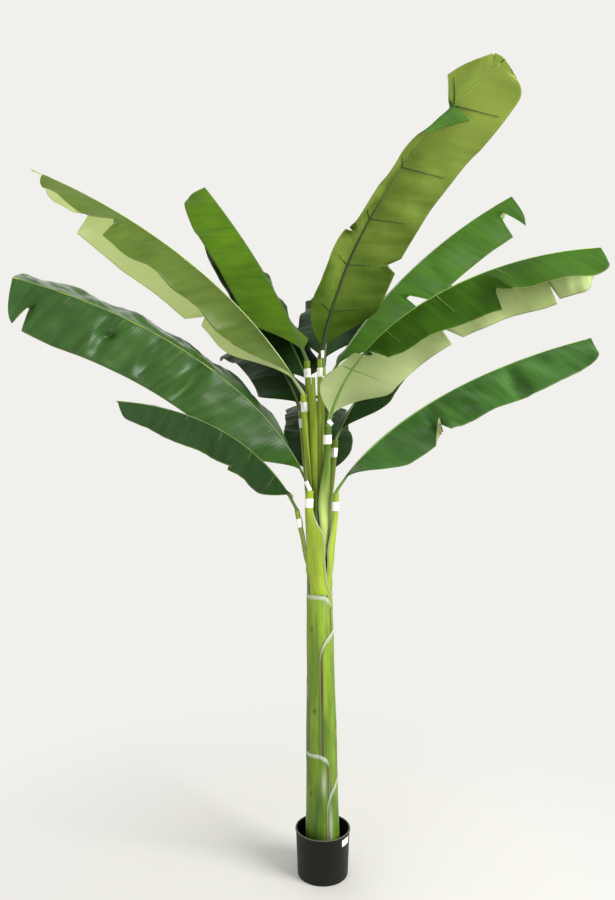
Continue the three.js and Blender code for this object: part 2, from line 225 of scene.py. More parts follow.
def soft_lamp(name, place, aim, size, watts):
    """A square soft box that faces a point."""
    data = bpy.data.lights.new(name, "AREA")
    data.size = size
    data.energy = watts
    lamp = put(name, data)
    lamp.location = place
    lamp.rotation_mode = "QUATERNION"
    lamp.rotation_quaternion = (Vector(aim) - Vector(place)).to_track_quat("-Z", "Y")
    print(name, "lamp,", size, "m wide,", watts, "W")


soft_lamp("key", (4.4, -2.8, 3.9), (0, 0, 1.5), 3.2, 510)
soft_lamp("fill", (-2.4, -3.4, 1.0), (0, 0, 1.7), 2.0, 35)
soft_lamp("bounce", (-1.3, 3.2, 3.2), (0, 0, 1.9), 3.6, 40)

# %% [markdown]
# The floor is a plain pale sheet. Away from the plant it turns into the colour of the surround, so that
# no horizon line cuts through the leaves.

# %% Floor
FLOOR, FLOOR_SIZE = "#C4C3BE", 60
FADE_FROM, FADE_TO = 0.3, 1.8  # metres from the plant, between which the floor turns into the surround


def studio_paper():
    """Matt white paper: soft shadows by the pot, and none far off, where it only glows."""
    material, tree = new_material("white studio paper")
    place = add_node(tree, "TexCoord")
    away = add_node(tree, "VectorMath", {0: place.outputs["Object"]}, operation="LENGTH")
    fade = add_node(
        tree, "MapRange", {0: away.outputs["Value"], 1: FADE_FROM, 2: FADE_TO},
        interpolation_type="SMOOTHSTEP",
    )
    near = add_node(tree, "BsdfPrincipled", {"Base Color": linear(FLOOR), "Roughness": 0.9})
    far = add_node(tree, "Emission", {"Color": linear(SURROUND)})
    sheet = add_node(tree, "MixShader", {0: fade, 1: near, 2: far})
    add_node(tree, "OutputMaterial", {"Surface": sheet})
    return material


bm = bmesh.new()
bmesh.ops.create_grid(bm, x_segments=1, y_segments=1, size=FLOOR_SIZE)
floor = put("floor", mesh_of("floor", bm, [studio_paper()]))
print("floor", tuple(floor.dimensions))

# %% [markdown]
# ## The finish of a leaf
# The leaves are polyester cloth, printed green and pressed in a heated mould that leaves fine parallel
# veins about 10 mm apart. The upper face has a thin plastic coat, so it shines; the underside is matt
# and paler. A little light comes through both, so each finish mixes a coated surface with a
# translucent one. The veins are bump and colour that follow the leaf's own UV map in metres.

# %% Printed leaf cloth
VEIN_PITCH = 0.010  # between two pressed side veins, in metres
VEIN_HEIGHT = 0.0003
WRINKLE_HEIGHT = 0.0005


def vein_pattern(tree):
    """Metres across the blade, the place on it, the veins as a wave, and streaks that run along them."""
    blade = add_node(tree, "UVMap", uv_map="blade")
    along_across = add_node(tree, "SeparateXYZ", {0: blade})
    along, across = along_across.outputs[0], along_across.outputs[1]
    place = add_node(tree, "TexCoord").outputs["Object"]
    # The wave along the rib is pushed about by up to 16 mm, so that no two veins are quite alike.
    drift = add_node(tree, "TexNoise", {"Vector": place, "Scale": 9.0, "Detail": 1.0})
    shifted = add_node(tree, "Math", {0: drift, 1: 0.016, 2: along}, operation="MULTIPLY_ADD")
    phase = add_node(tree, "Math", {0: shifted, 1: 2 * math.pi / VEIN_PITCH}, operation="MULTIPLY")
    wave = add_node(tree, "Math", {0: phase}, operation="SINE")
    # 42 and 6 streaks to a metre: each is about 24 mm wide and 170 mm long.
    lane = add_node(tree, "VectorMath", {0: blade, 1: (42, 6, 1)}, operation="MULTIPLY")
    streaks = add_node(tree, "TexNoise", {"Vector": lane, "Scale": 1.0, "Detail": 3.0})
    return across, place, wave, streaks


def printed_colour(tree, pattern, deep, bright, rib, streaky, fade):
    """Two greens in streaks along the veins, a pale rib line and painted shade along the margin."""
    across, place, wave, streaks = pattern
    blotch = add_node(tree, "TexNoise", {"Vector": place, "Scale": 6.0, "Detail": 5.0})
    veined = add_node(tree, "Math", {0: wave, 1: 0.035, 2: streaks}, operation="MULTIPLY_ADD")
    softened = add_node(
        tree, "Math", {0: veined, 1: streaky, 2: 0.5 - 0.5 * streaky}, operation="MULTIPLY_ADD"
    )
    cloudy = add_node(tree, "Math", {0: blotch, 1: 0.7, 2: softened}, operation="MULTIPLY_ADD")
    share = add_node(tree, "Attribute", attribute_name="share").outputs["Fac"]
    faded = add_node(tree, "Math", {0: share, 1: fade, 2: cloudy}, operation="MULTIPLY_ADD")
    shade = add_node(
        tree, "MapRange", {0: faded, 1: 0.45 + 0.6 * fade, 2: 1.15 + 0.6 * fade},
        interpolation_type="SMOOTHSTEP",
    )
    greens = add_node(
        tree, "Mix", {0: shade, MIX_A: linear(deep), MIX_B: linear(bright)}, data_type="RGBA"
    )
    # The rib shows through as a pale line, some 9 mm wide at the foot and half that at the tip.
    reach = add_node(tree, "Math", {0: across}, operation="ABSOLUTE")
    line_half = add_node(tree, "MapRange", {0: share, 3: 0.0044, 4: 0.0022})
    beside = add_node(tree, "Math", {0: reach, 1: line_half}, operation="DIVIDE")
    on_rib = add_node(
        tree, "MapRange", {0: beside, 1: 0.8, 2: 1.3, 3: 1.0, 4: 0.0}, interpolation_type="SMOOTHSTEP"
    )
    ribbed = add_node(
        tree, "Mix", {0: on_rib, MIX_A: greens.outputs[MIX_RESULT], MIX_B: linear(rib)}, data_type="RGBA"
    )
    # The margin is darkened to an olive brown: painted shade along the cut edge.
    margin = add_node(tree, "Attribute", attribute_name="margin").outputs["Fac"]
    margin_shade = add_node(
        tree, "MapRange", {0: margin, 1: 0.965, 2: 1.0, 4: 0.55}, interpolation_type="SMOOTHSTEP"
    )
    margin_shaded = add_node(
        tree, "Mix", {0: margin_shade, MIX_A: ribbed.outputs[MIX_RESULT], MIX_B: linear("#6F7A3A")},
        data_type="RGBA",
    )
    return margin_shaded.outputs[MIX_RESULT]


def leaf_cloth(
    name, deep, bright, rib, glow, roughness, through, streaky, fade=0.0, shine=0.3, relief=1.0, thin=0.0
):
    """Pressed polyester. `through` is the light it lets through, and `fade` makes its tip lighter."""
    material, tree = new_material(name)
    pattern = vein_pattern(tree)
    across, _, wave, streaks = pattern
    colour = printed_colour(tree, pattern, deep, bright, rib, streaky, fade)
    veins = add_node(
        tree, "Bump", {"Height": wave, "Strength": 1.0, "Distance": relief * VEIN_HEIGHT / 2}
    )
    wrinkles = add_node(
        tree, "Bump", {"Height": streaks, "Distance": 2 * relief * WRINKLE_HEIGHT, "Normal": veins}
    )
    polish = add_node(
        tree, "MapRange", {0: streaks, 1: 0.3, 2: 0.7, 3: roughness - 0.05, 4: roughness + 0.08}
    )
    coat = add_node(
        tree, "BsdfPrincipled",
        {"Base Color": colour, "Roughness": polish, "Specular IOR Level": shine, "Normal": wrinkles},
    )
    light_through = add_node(tree, "BsdfTranslucent", {"Color": linear(glow), "Normal": wrinkles})
    # `thin` is how much more light comes through the right half of a blade that is pressed thinner there.
    let_through = add_node(
        tree, "MapRange", {0: across, 1: -0.004, 2: 0.004, 3: through, 4: through + thin}
    )
    both = add_node(tree, "MixShader", {0: let_through, 1: coat, 2: light_through})
    add_node(tree, "OutputMaterial", {"Surface": both})
    return material


print("a pressed vein every", 1000 * VEIN_PITCH, "mm")

# %% [markdown]
# The upper faces differ mostly in how much they shine and how yellow they are. The undersides are all
# matt. A leaf that is seen against the light needs a pale one, since its colour is then mostly what
# comes through.

# %% Upper faces and undersides
# Dark and glossy, so that its folds catch long pale highlights.
dark_top = leaf_cloth(
    "dark green coated polyester", "#1B3A0F", "#345A1D", "#A3AC3C", "#3F6B15", 0.36, 0.10, 0.6, relief=0.6
)
# Nearly black and dull: a dark print darkened further as painted shade, so that leaf b and the leaves at the
# back stay behind the others.
shaded_deep_top = leaf_cloth(
    "deep green coated polyester", "#0E2108", "#203C15", "#566E2C", "#2F5412", 0.58, 0.08, 0.6, shine=0.12
)
# The thickest coat of all: broad cool highlights on a green lighter than leaf a's, the lightness being
# painted sheen.
painted_sheen_top = leaf_cloth(
    "glossy green coated polyester", "#24491A", "#44732C", "#3F6426", "#4A7A22", 0.36, 0.10, 0.6, -0.15,
    shine=0.4,
)
# A duller coat on a warm green, which shows the print more than the light.
mid_top = leaf_cloth(
    "mid green coated polyester", "#22430A", "#3D6614", "#4E6A26", "#5F8A14", 0.50, 0.18, 0.6, shine=0.12,
    relief=0.6,
)
# Yellower, with a quarter of the light coming through: it looks lit from inside.
bright_top = leaf_cloth(
    "bright green coated polyester", "#3C630A", "#608814", "#5A6E2A", "#78A814", 0.50, 0.24, 0.6,
    shine=0.12,
)
# So thin on one side of the rib that it glows pale yellow there.
thin_top = leaf_cloth(
    "thin bright green coated polyester", "#30480F", "#4D631A", "#5A6E2A", "#DCEAA0", 0.38, 0.18, 0.6,
    shine=0.25, relief=0.6, thin=0.45,
)
# The underside of the leaves at the back: flat, and darkened as painted shade where the leaves in front shade
# them.
shaded_dark_back = leaf_cloth(
    "dark green polyester back", "#2C3F17", "#42592A", "#5C7838", "#50702A", 0.60, 0.15, 0.4, shine=0.15
)
# Bare cloth with a thin print: a chalky grey green with hardly any highlight.
grey_back = leaf_cloth(
    "grey green polyester back", "#95A862", "#B2C186", "#7C8F48", "#B4C878", 0.60, 0.30, 0.4
)
# The same cloth, palest near the foot.
light_back = leaf_cloth(
    "light grey green polyester back", "#93A55C", "#CEDF9C", "#7FA048", "#C8DC88", 0.60, 0.30, 0.3, -0.5,
    relief=0.4,
)
# Nearly white, for the leaf that the light comes through: the pale colour is painted glow, added to the light
# its cloth lets through.
painted_glow_back = leaf_cloth(
    "pale green polyester back", "#DCE6B4", "#EDF3CC", "#9FB06A", "#E6F2B0", 0.6, 0.4, 0.3, relief=0.4,
    thin=0.2,
)
# Deep olive at the foot and yellow green at the tip, with a dark rib line: the dark foot is painted shade
# where the leaves above shade it.
yellow_back = leaf_cloth(
    "yellow green polyester back", "#3A5608", "#97AC4A", "#1E2C0C", "#9DB83A", 0.62, 0.26, 0.2, 0.55,
    0.15, 0.2,
)
print("leaf finishes", len([m for m in bpy.data.materials if "polyester" in m.name]))

# %% [markdown]
# ## The leaf table
# One row for each leaf, in metres and degrees: where its stalk starts and ends, how its rib sets out
# and droops, and how each half folds. `right` and `left` give a half's width, its fold at the foot, its
# fold at the tip, and its extra curl towards the margin. A tear is (side, share of the length, depth,
# opening, turn), with side 1 for the right half and -1 for the left. These are the numbers that the solid
# leaves were made with, so every finer leaf lies where its solid does. Only a few tears and openings are
# moved a little, in the table of details further on.

# %% Where each leaf stands and how it folds
USUAL = dict(radius=0.01, power=1, sweep=0, opened=0.2, taper=0.7, tears=[])  # unless a row says else
LEAF_ROWS = {
    "a": dict(
        side=(-0.035, -0.024, 1.05), bow=(-0.056, -0.046, 1.15), socket=(-0.046, -0.046, 1.335),
        radius=0.0135,
        azimuth=194, elevation=80, length=1.18, droop=66, power=0.5, taper=0.8,
        right=(0.13, 24, 24, -10), left=(0.178, -80, -80, -10), tears=[(-1, 0.9, 0.45, 0.04, 0)],
    ),
    "b": dict(
        side=(-0.04, -0.006, 1.08), bow=(-0.07, -0.02, 1.16), socket=(-0.088, -0.036, 1.268),
        radius=0.0085,
        azimuth=230, elevation=60, length=0.835, droop=57, power=0.7, opened=0.22, taper=0.55,
        right=(0.066, 0, 0, -10), left=(0.12, -70, -70, -10), tears=[(-1, 0.42, 0.12, 0.03, 0)],
    ),
    "c": dict(
        outer=195, socket=(-0.066, -0.012, 1.655), radius=0.0105,
        azimuth=188, elevation=62, length=1.1, droop=40, power=0.8, taper=0.62,
        right=(0.165, -50, -50, -8), left=(0.15, -46, -46, -10),
        tears=[(-1, 0.72, 0.5, 0.05, 12), (1, 0.34, 0.3, 0.05, -22), (1, 0.8, 0.5, 0.06, 40)],
    ),
    "d": dict(
        inner=180, socket=(-0.055, 0.028, 1.77),
        azimuth=127, elevation=66, length=1.0, droop=26, power=0.35, taper=0.72,
        right=(0.15, -40, -40, -10), left=(0.15, -28, -28, -10),
    ),
    "e": dict(
        inner=300, socket=(-0.012, -0.032, 1.772), radius=0.0085,
        azimuth=-46, elevation=78, length=1.06, droop=50, power=0.85, sweep=12, opened=0.16, taper=0.74,
        right=(0.15, -15, -15, 0), left=(0.165, -42, -42, 0),
        tears=[(1, 0.38, 0.3, 0.03, -12), (1, 0.76, 0.6, 0.04, 22), (-1, 0.3, 0.2, 0.05, 0)],
    ),
    "f": dict(
        outer=60, socket=(0.026, 0.05, 1.715),
        azimuth=31, elevation=66, length=1.12, droop=38, power=0.5, taper=0.86,
        right=(0.15, -60, -60, -10), left=(0.15, -40, -40, -10),
        tears=[(1, 0.36, 0.6, 0.06, 0), (1, 0.88, 0.7, 0.08, 0)],
    ),
    "g": dict(
        outer=318, socket=(0.015, -0.042, 1.548), radius=0.0125,
        azimuth=-60, elevation=74, length=1.095, droop=69, power=0.6, sweep=75, opened=0.18, taper=0.76,
        right=(0.15, 10, -25, -10), left=(0.165, -66, -80, 0),
        tears=[(1, 0.2, 0.6, 0.06, -50), (1, 0.62, 0.4, 0.04, 30), (-1, 0.4, 0.35, 0.05, 0)],
    ),
    "h": dict(
        side=(0.02, -0.01, 1.05), bow=(0.038, -0.028, 1.15), socket=(0.042, -0.036, 1.325),
        radius=0.0105,
        azimuth=-10, elevation=72, length=0.975, droop=58, power=0.45, opened=0.22, taper=0.72,
        right=(0.15, -60, -60, -10), left=(0.14, -30, -30, -10),
    ),
    "i": dict(
        outer=105, socket=(-0.042, 0.055, 1.68),
        azimuth=121, elevation=52, length=0.96, droop=18, opened=0.28,
        right=(0.12, -20, -20, -10), left=(0.14, -15, -15, -15),
    ),
    "j": dict(
        outer=150, socket=(-0.075, 0.048, 1.6),
        azimuth=115, elevation=50, length=0.76, droop=60,
        right=(0.125, -25, -25, -15), left=(0.125, -25, -25, -15),
    ),
    "k": dict(
        side=(-0.01, 0.022, 1.07), bow=(-0.012, 0.052, 1.16), socket=(-0.01, 0.062, 1.33),
        azimuth=91, elevation=58, length=0.85, droop=75,
        right=(0.14, -8, -8, -25), left=(0.14, -8, -8, -25),
    ),
    "l": dict(
        inner=60, socket=(0.0, 0.028, 1.745), radius=0.009,
        azimuth=82, elevation=50, length=1.06, droop=60,
        right=(0.14, -20, -20, -15), left=(0.14, -12, -12, -10),
    ),
    "m": dict(
        outer=15, socket=(0.042, 0.02, 1.5),
        azimuth=38, elevation=60, length=0.82, droop=30,
        right=(0.125, -30, -30, -10), left=(0.125, -35, -35, -10),
    ),
}
LEAVES = {name: {**USUAL, **row} for name, row in LEAF_ROWS.items()}
TRUNK_TOP, TRUNK_FOOT = 1.2, 0.097
LEAN = -0.015  # how far the trunk's top lies to the left of its foot
OUTER_RING, INNER_RING = 0.0295, 0.0102  # radii of the two rings of stalks that stand on the trunk
print(len(LEAVES), "leaves")

# %% [markdown]
# ## The line of a stalk and of a rib
# A stalk is a straight rod out of the top of the trunk, or a bowed one up its side. The rib goes on from
# it: at each share of its length it heads a little lower, as a real rib does under the blade's weight.
# Adding up short steps along that heading gives the rib's line.

# %% Stalk and rib lines
STALK_SINK = 0.005  # how deep a stalk stands in the top of the trunk


def heading(points, index):
    """The way a line runs at one of its points."""
    ahead = points[min(index + 1, len(points) - 1)] - points[max(index - 1, 0)]
    return ahead.normalized()


def stalk_points(leaf, steps):
    """Points along a stalk, foot first."""
    end = Vector(leaf["socket"])
    if "side" in leaf:
        start, middle = Vector(leaf["side"]), Vector(leaf["bow"])
        shares = [step / steps for step in range(steps + 1)]
        return [start * (1 - t) ** 2 + middle * 2 * t * (1 - t) + end * t * t for t in shares]
    ring = OUTER_RING if "outer" in leaf else INNER_RING
    bearing = math.radians(leaf["outer"] if "outer" in leaf else leaf["inner"])
    start = Vector((LEAN + ring * math.cos(bearing), ring * math.sin(bearing), TRUNK_TOP - STALK_SINK))
    return [start.lerp(end, step / steps) for step in range(steps + 1)]


def axes(leaf, t):
    """Along the rib, to its right and up from the blade, at a share of the length."""
    turn = math.radians(leaf["azimuth"] + leaf["sweep"] * t)
    rise = math.radians(leaf["elevation"] - leaf["droop"] * t ** leaf["power"])
    along = Vector((math.cos(rise) * math.cos(turn), math.cos(rise) * math.sin(turn), math.sin(rise)))
    right = Vector((math.sin(turn), -math.cos(turn), 0))
    return along, right, right.cross(along)


RIB_FOOT, PETIOLE_HALF, PETIOLE = 0.0075, 0.008, 0.032  # depth, half-width and length of a leaf's foot
SEAT_GAP = 0.0003  # between a leaf and the top of its stalk
FINE_STEPS = 200  # in a stalk's line, where its exact heading is needed


def rib_points(leaf, shares):
    """Points along the rib at the given shares of its length."""
    along, right, up = axes(leaf, 0)
    top = heading(stalk_points(leaf, FINE_STEPS), FINE_STEPS)
    lean = abs(top.dot(up))
    clearance = max(RIB_FOOT * lean, PETIOLE_HALF * abs(top.dot(right)) + 0.001 * lean)
    spot = Vector(leaf["socket"]) + along * ((SEAT_GAP + clearance) / top.dot(along))
    reached, made = 0.0, []
    for share in shares:
        stride = (share - reached) / 4
        for step in range(4):
            spot = spot + axes(leaf, reached + (step + 0.5) * stride)[0] * (leaf["length"] * stride)
        reached = share
        made.append(spot)
    return made


print("leaf a's rib ends at", tuple(round(v, 2) for v in rib_points(LEAVES["a"], [1.0])[0]))

# %% [markdown]
# ## The shape of a blade
# A blade is two halves hinged on the rib. Each half is drawn one side vein at a time: a vein leaves the
# rib, slants forward and curls over, and the outline says how long it is. On top of that come the things
# that make a cloth leaf look real: long waves at the margin, soft dents, pinched creases, and the lips
# of each tear standing a little apart. All of them are moves along the face's own normal.
#
# The details of each leaf, with lengths in metres and the rest as shares of the length or of the width:
# `creases` are (side, share, depth, width) and `dimples` (side, share, share across, depth, width).
# `hems` are (side, from, to, fold, turn, back): a corner of the margin folded over up to a tear, where
# the fold has come in to that share of the width. The cloth turns by that many degrees there, and its
# veins lean back by the last number. A `lobe` is (side, up to, turn): a piece at the foot that stands up
# more and more as far as its tear. `slits` are (side, share, depth, opening): tears whose lips lie flat.
# `wave` and `crumple` are heights, `ripple` scales the fine puckers, and `full` says for the right and
# the left half how long the outline stays wide before it closes. `blunt` is how far the last veins may
# reach forward, as a share of what is left of the rib. `tears` and `opened` take the place of the leaf's own.

# %% Creases, folded margins and small slits
DETAILS = {
    "a": dict(
        creases=[(-1, 0.44, 0.015, 0.024), (-1, 0.57, 0.012, 0.022), (-1, 0.71, 0.015, 0.024)],
        wave=0.006, crumple=0.010, dimples=[(-1, 0.70, 0.42, 0.020, 0.016)],
    ),
    "b": dict(
        creases=[(-1, 0.55, 0.006, 0.03), (-1, 0.3, 0.006, 0.02)], wave=0.005, full=(1.8, 1.8),
        tears=[(-1, 0.43, 0.24, 0.018, 6)],
    ),
    "c": dict(creases=[(1, 0.42, 0.006, 0.03), (-1, 0.5, 0.008, 0.04)], wave=0.008, full=(1.7, 1.7)),
    "d": dict(creases=[(1, 0.35, 0.006, 0.03), (-1, 0.6, 0.006, 0.03)], wave=0.007),
    "e": dict(
        creases=[(-1, 0.48, 0.006, 0.03), (1, 0.5, 0.006, 0.03), (1, 0.2, 0.006, 0.03)], wave=0.003,
        ripple=0.3, full=(2.1, 2.5), blunt=0.85,
        tears=[(1, 0.38, 0.3, 0.03, -12), (1, 0.81, 0.68, 0.014, 22), (-1, 0.3, 0.2, 0.05, 0)],
        hems=[(1, 0.69, 0.8105, 0.36, 128, -5)],
        slits=[(-1, 0.975, 0.3, 0.008), (-1, 0.988, 0.4, 0.006), (1, 0.965, 0.25, 0.010)],
    ),
    "f": dict(creases=[(1, 0.5, 0.008, 0.03), (-1, 0.4, 0.006, 0.03)], wave=0.007),
    "g": dict(
        creases=[(1, 0.5, 0.008, 0.03), (-1, 0.5, 0.008, 0.03), (-1, 0.86, 0.008, 0.02)], wave=0.008,
        ripple=0.6,
        lobes=[(1, 0.28, -20)],
        tears=[
            (1, 0.28, 0.6, 0.05, -50), (1, 0.65, 0.4, 0.04, 30),
            (-1, 0.46, 0.35, 0.04, 0), (-1, 0.8, 0.5, 0.02, 8),
        ],
    ),
    "h": dict(
        creases=[(1, 0.40, 0.016, 0.024), (1, 0.70, 0.014, 0.022)], wave=0.006, crumple=0.009, blunt=1.3,
        tears=[(1, 0.40, 0.34, 0.014, 10)], hems=[(1, 0.32, 0.4005, 0.68, -150, -20)],
    ),
    "i": dict(creases=[(1, 0.5, 0.012, 0.05), (-1, 0.55, 0.010, 0.05)], wave=0.010, opened=0.13),
    "j": dict(creases=[(1, 0.4, 0.010, 0.05)], wave=0.009, opened=0.12),
    "k": dict(creases=[(1, 0.5, 0.008, 0.04), (-1, 0.35, 0.008, 0.04)], wave=0.008),
    "l": dict(creases=[(1, 0.6, 0.008, 0.04), (-1, 0.45, 0.008, 0.04)], wave=0.008),
    "m": dict(creases=[(1, 0.5, 0.008, 0.04)], wave=0.007),
}
FULL, BLUNT = (2.4, 2.4), 0.7  # unless a leaf says else
print(sum(len(detail["creases"]) for detail in DETAILS.values()), "creases")

# %% [markdown]
# The outline is a smooth opening at the foot and a rounded closing at the tip. A tear makes the veins
# near it shorter, to a V. Its two lips then part, one up and one down, which no flat cut could show.

# %% Outline and tears
LIP_LIFT, LIP_FADE = 0.011, 0.045  # height of a lip, and how soon it fades away along the rib


def outline(leaf, detail, side, t):
    """Share of the full width of one half at a share of the length."""
    opened = detail.get("opened", leaf["opened"])
    closing = max(0.0, (t - leaf["taper"]) / (1 - leaf["taper"]))
    full_right, full_left = detail.get("full", FULL)
    full = full_right if side > 0 else full_left
    return smooth(t, PETIOLE / leaf["length"], opened) ** 0.8 * math.sqrt(1 - closing ** full)


def torn(cuts, side, t):
    """What the tears of one half leave of its width there."""
    left = 1.0
    for cut_side, at, depth, opening, *_ in cuts:
        near = abs(t - at) / (opening / 2)
        if cut_side == side and near < 1:
            left = min(left, 1 - depth * (1 - near))
    return left


def lip_lift(cuts, side, t, across, length):
    """How far the lips of a tear stand apart: one up, one down, fading away from the tear."""
    lift = 0.0
    for cut_side, at, depth, *_ in cuts:
        beyond = smooth(across, 1 - depth, 1)
        fade = math.exp(-abs(t - at) * length / LIP_FADE)
        if cut_side == side:
            lift += math.copysign(LIP_LIFT * beyond * fade, t - at)
    return lift


def turned_by_cuts(leaf, detail, side, t):
    """How many degrees the tears and lobes of one half have turned its cloth there."""
    turned = sum(
        turn * min(1.0, max(0.0, (t - at) / opening + 0.5))
        for cut_side, at, _, opening, turn in detail.get("tears", leaf["tears"]) if cut_side == side
    )
    for lobe_side, up_to, turn in detail.get("lobes", []):
        if lobe_side == side:
            turned += turn * smooth(t, 0, up_to) * (1 - smooth(t, up_to - 0.01, up_to + 0.03))
    return turned


print("half way along, leaf a has", outline(LEAVES["a"], DETAILS["a"], 1, 0.5), "of its full width")

# %% [markdown]
# Cloth that was pressed, packed and bent open again is never smooth. Long waves run along its margin,
# soft swells and fine puckers lie all over it, and a packed leaf keeps its creases. Each is a height
# above the pressed blade, and their sum is what the spot moves by along its face.

# %% Unevenness of the cloth
WAVE_LENGTH = 0.19  # from one wave of the margin to the next
# How long along the rib, how wide across it and how high they are.
SWELL, PUCKER, CRUMPLE = (0.16, 0.10, 0.008), (0.026, 0.12, 0.0026), (0.055, 0.07, 0.0015)
SWELL_SHIFT = 7  # moves the swells to another part of the noise, away from the puckers
CREASE_SLANT = 0.30  # how far a crease runs forward on its way to the margin


def uneven(kind, along, across, seed, shift=0):
    """A smooth random number between -1 and 1 for a spot of the cloth."""
    long, wide, _ = kind
    return noise.noise(Vector((along / long, across / wide + shift, seed)))


def cloth_lift(leaf, detail, seed, t, side, u, width):
    """How far a spot of the cloth stands above the pressed blade."""
    length = leaf["length"]
    half = leaf["right" if side > 0 else "left"][0]
    spot = t * length, side * (width * u)
    phase = 2 * math.pi * t * length / WAVE_LENGTH + seed + (1.3 if side > 0 else 0)
    wave = math.sin(phase) * detail["wave"] * u * u
    soft = uneven(SWELL, *spot, seed, SWELL_SHIFT) * SWELL[2] * u ** 0.7
    pucker = uneven(PUCKER, *spot, seed + 9) * PUCKER[2] * u ** 0.5
    pucker *= detail.get("ripple", 1.0)
    press = detail.get("crumple", CRUMPLE[2]) * math.sin(math.pi * u) ** 0.5 * smooth(t, 0.15, 0.4)
    crumple = press * uneven(CRUMPLE, *spot, seed + 4)
    dent = 0.0
    for crease_side, at, depth, broad in detail["creases"]:
        if crease_side == side:
            off = (t - at) * length + CREASE_SLANT * (u - 0.5) * half
            dent -= depth * math.exp(-(off / broad) ** 2) * math.sin(math.pi * min(1, u * 1.1)) ** 0.7
            dent += 0.45 * depth * math.exp(-((off - 1.6 * broad) / broad) ** 2) * u
    for dimple_side, at, across_at, depth, broad in detail.get("dimples", []):
        if dimple_side == side:
            off = math.hypot((t - at) * length, (u - across_at) * half)
            dent -= depth * math.exp(-(off / broad) ** 2)
    return wave + soft + pucker + crumple + dent


print("swells", 1000 * SWELL[2], "mm high, puckers", 1000 * PUCKER[2], "mm")

# %% [markdown]
# A half is walked from the rib outwards, one short step at a time. Each step tilts by the fold, the curl
# and any hem, and leans forward by the slant of the vein. That keeps every vein at its true length
# however it is bent, as cloth does.

# %% Veins and blades
ROW_STEP = 0.0034  # between two rows of a blade: three rows to a pressed vein
COLUMNS = 20  # in each half
RIB_TIP = 0.0018  # half the width of a blade's last row
VEIN_SLANT, TIP_SLANT = 20, 62  # degrees that a vein leans forward, in the middle and at the tip
HEM_ROUND = 0.08  # share of the width that a fold in the margin takes up


def hemmed(detail, side, t, out, sweep):
    """How far a folded margin is bent over at a spot, and which way its cloth runs."""
    bend, heads = 0.0, sweep
    for hem_side, low, high, start, turn, back in detail.get("hems", []):
        if hem_side == side and low < t < high:
            fold_at = 1 - (1 - start) * (t - low) / (high - low)
            bent = smooth(out, fold_at, fold_at + HEM_ROUND)
            bend += turn * bent
            heads = blend(sweep, -math.radians(back), bent)
    return bend, heads


def vein_spots(leaf, detail, seed, t, foot, side):
    """Spots from the rib to the margin of one half, each with its distance from the rib and its share."""
    half, fold_foot, fold_tip, curl = leaf["right"] if side > 0 else leaf["left"]
    length = leaf["length"]
    along, right, up = axes(leaf, t)
    tip = max(0.0, (t - leaf["taper"]) / (1 - leaf["taper"]))
    opened = smooth(t, PETIOLE / length, leaf["opened"])
    fold = opened * (blend(fold_foot, fold_tip, t) + turned_by_cuts(leaf, detail, side, t))
    tears = detail.get("tears", leaf["tears"])
    whole = torn(tears + detail.get("slits", []), side, t)
    width = max(blend(PETIOLE_HALF, RIB_TIP, t), half * outline(leaf, detail, side, t) * whole)
    slant = math.radians(blend(opened * VEIN_SLANT, TIP_SLANT, tip))
    free = detail.get("blunt", BLUNT) * (1 - t) * length / width
    sweep = math.asin(min(0.99, math.sin(slant) * free / math.hypot(math.sin(slant), free)))
    body = opened * (1 - smooth(t, 0.95, 1.0))
    spots, spot = [], foot.copy()
    for column in range(1, COLUMNS + 1):
        u = column / COLUMNS
        bend, heads = hemmed(detail, side, t, u * whole, sweep)
        tilt = math.radians(fold + curl * (column - 0.5) / COLUMNS - bend)
        across = right * (side * math.cos(tilt)) + up * math.sin(tilt)
        spot = spot + (across * math.cos(heads) + along * math.sin(heads)) * (width / COLUMNS)
        face = up * math.cos(tilt) - right * (side * math.sin(tilt))
        lips = lip_lift(tears, side, t, u, length)
        lift = body * cloth_lift(leaf, detail, seed, t, side, u, width) + lips
        spots.append((spot + face * lift, side * (width * u), u))
    return spots


def blade_mesh(leaf, detail, seed):
    """The upper face of a blade as one sheet: rows along the rib, columns from right to left."""
    rows = round(leaf["length"] / ROW_STEP)
    shares = [row / rows for row in range(rows + 1)]
    table = []
    for t, foot in zip(shares, rib_points(leaf, shares)):
        right = vein_spots(leaf, detail, seed, t, foot, 1)
        left = vein_spots(leaf, detail, seed, t, foot, -1)
        table.append([*reversed(right), (foot, 0.0, 0.0), *left])
    bm = bmesh.new()
    share_layer = bm.verts.layers.float.new("share")
    margin_layer = bm.verts.layers.float.new("margin")
    placed = grid_verts(bm, rows, 2 * COLUMNS)
    bm.verts.index_update()
    spots = {}
    for row, column, vert in placed:
        _, reach, u = table[row][column]
        spots[vert.index] = (shares[row] * leaf["length"], reach)
        vert[share_layer] = shares[row]
        vert[margin_layer] = u
    map_uv(bm, "blade", spots)
    for row, column, vert in placed:
        vert.co = table[row][column][0]
    return bm


print("the longest blade has", round(max(leaf["length"] for leaf in LEAVES.values()) / ROW_STEP), "rows")

# %% [markdown]
# ## The blades
# Each sheet gets its thickness from a Solidify modifier, which also gives the underside and the cut edge
# their own paler finish. A tear could be cut out of the sheet, but here the rows simply get shorter
# towards it, so the mesh stays one clean grid and the modifier closes it all round.

# %% Blades
BLADE_THICK = 0.0009
SEED_STEP = 3.7  # from one leaf's random seed to the next one's
FINISHES = {name: (dark_top, grey_back) for name in LEAVES}
FINISHES.update({name: (shaded_deep_top, shaded_dark_back) for name in "ijklm"})
FINISHES.update({"b": (shaded_deep_top, grey_back), "c": (thin_top, painted_glow_back), "d": (bright_top, grey_back)})
FINISHES.update({"e": (mid_top, yellow_back), "f": (mid_top, grey_back)})
FINISHES.update({"g": (mid_top, light_back), "h": (painted_sheen_top, grey_back)})

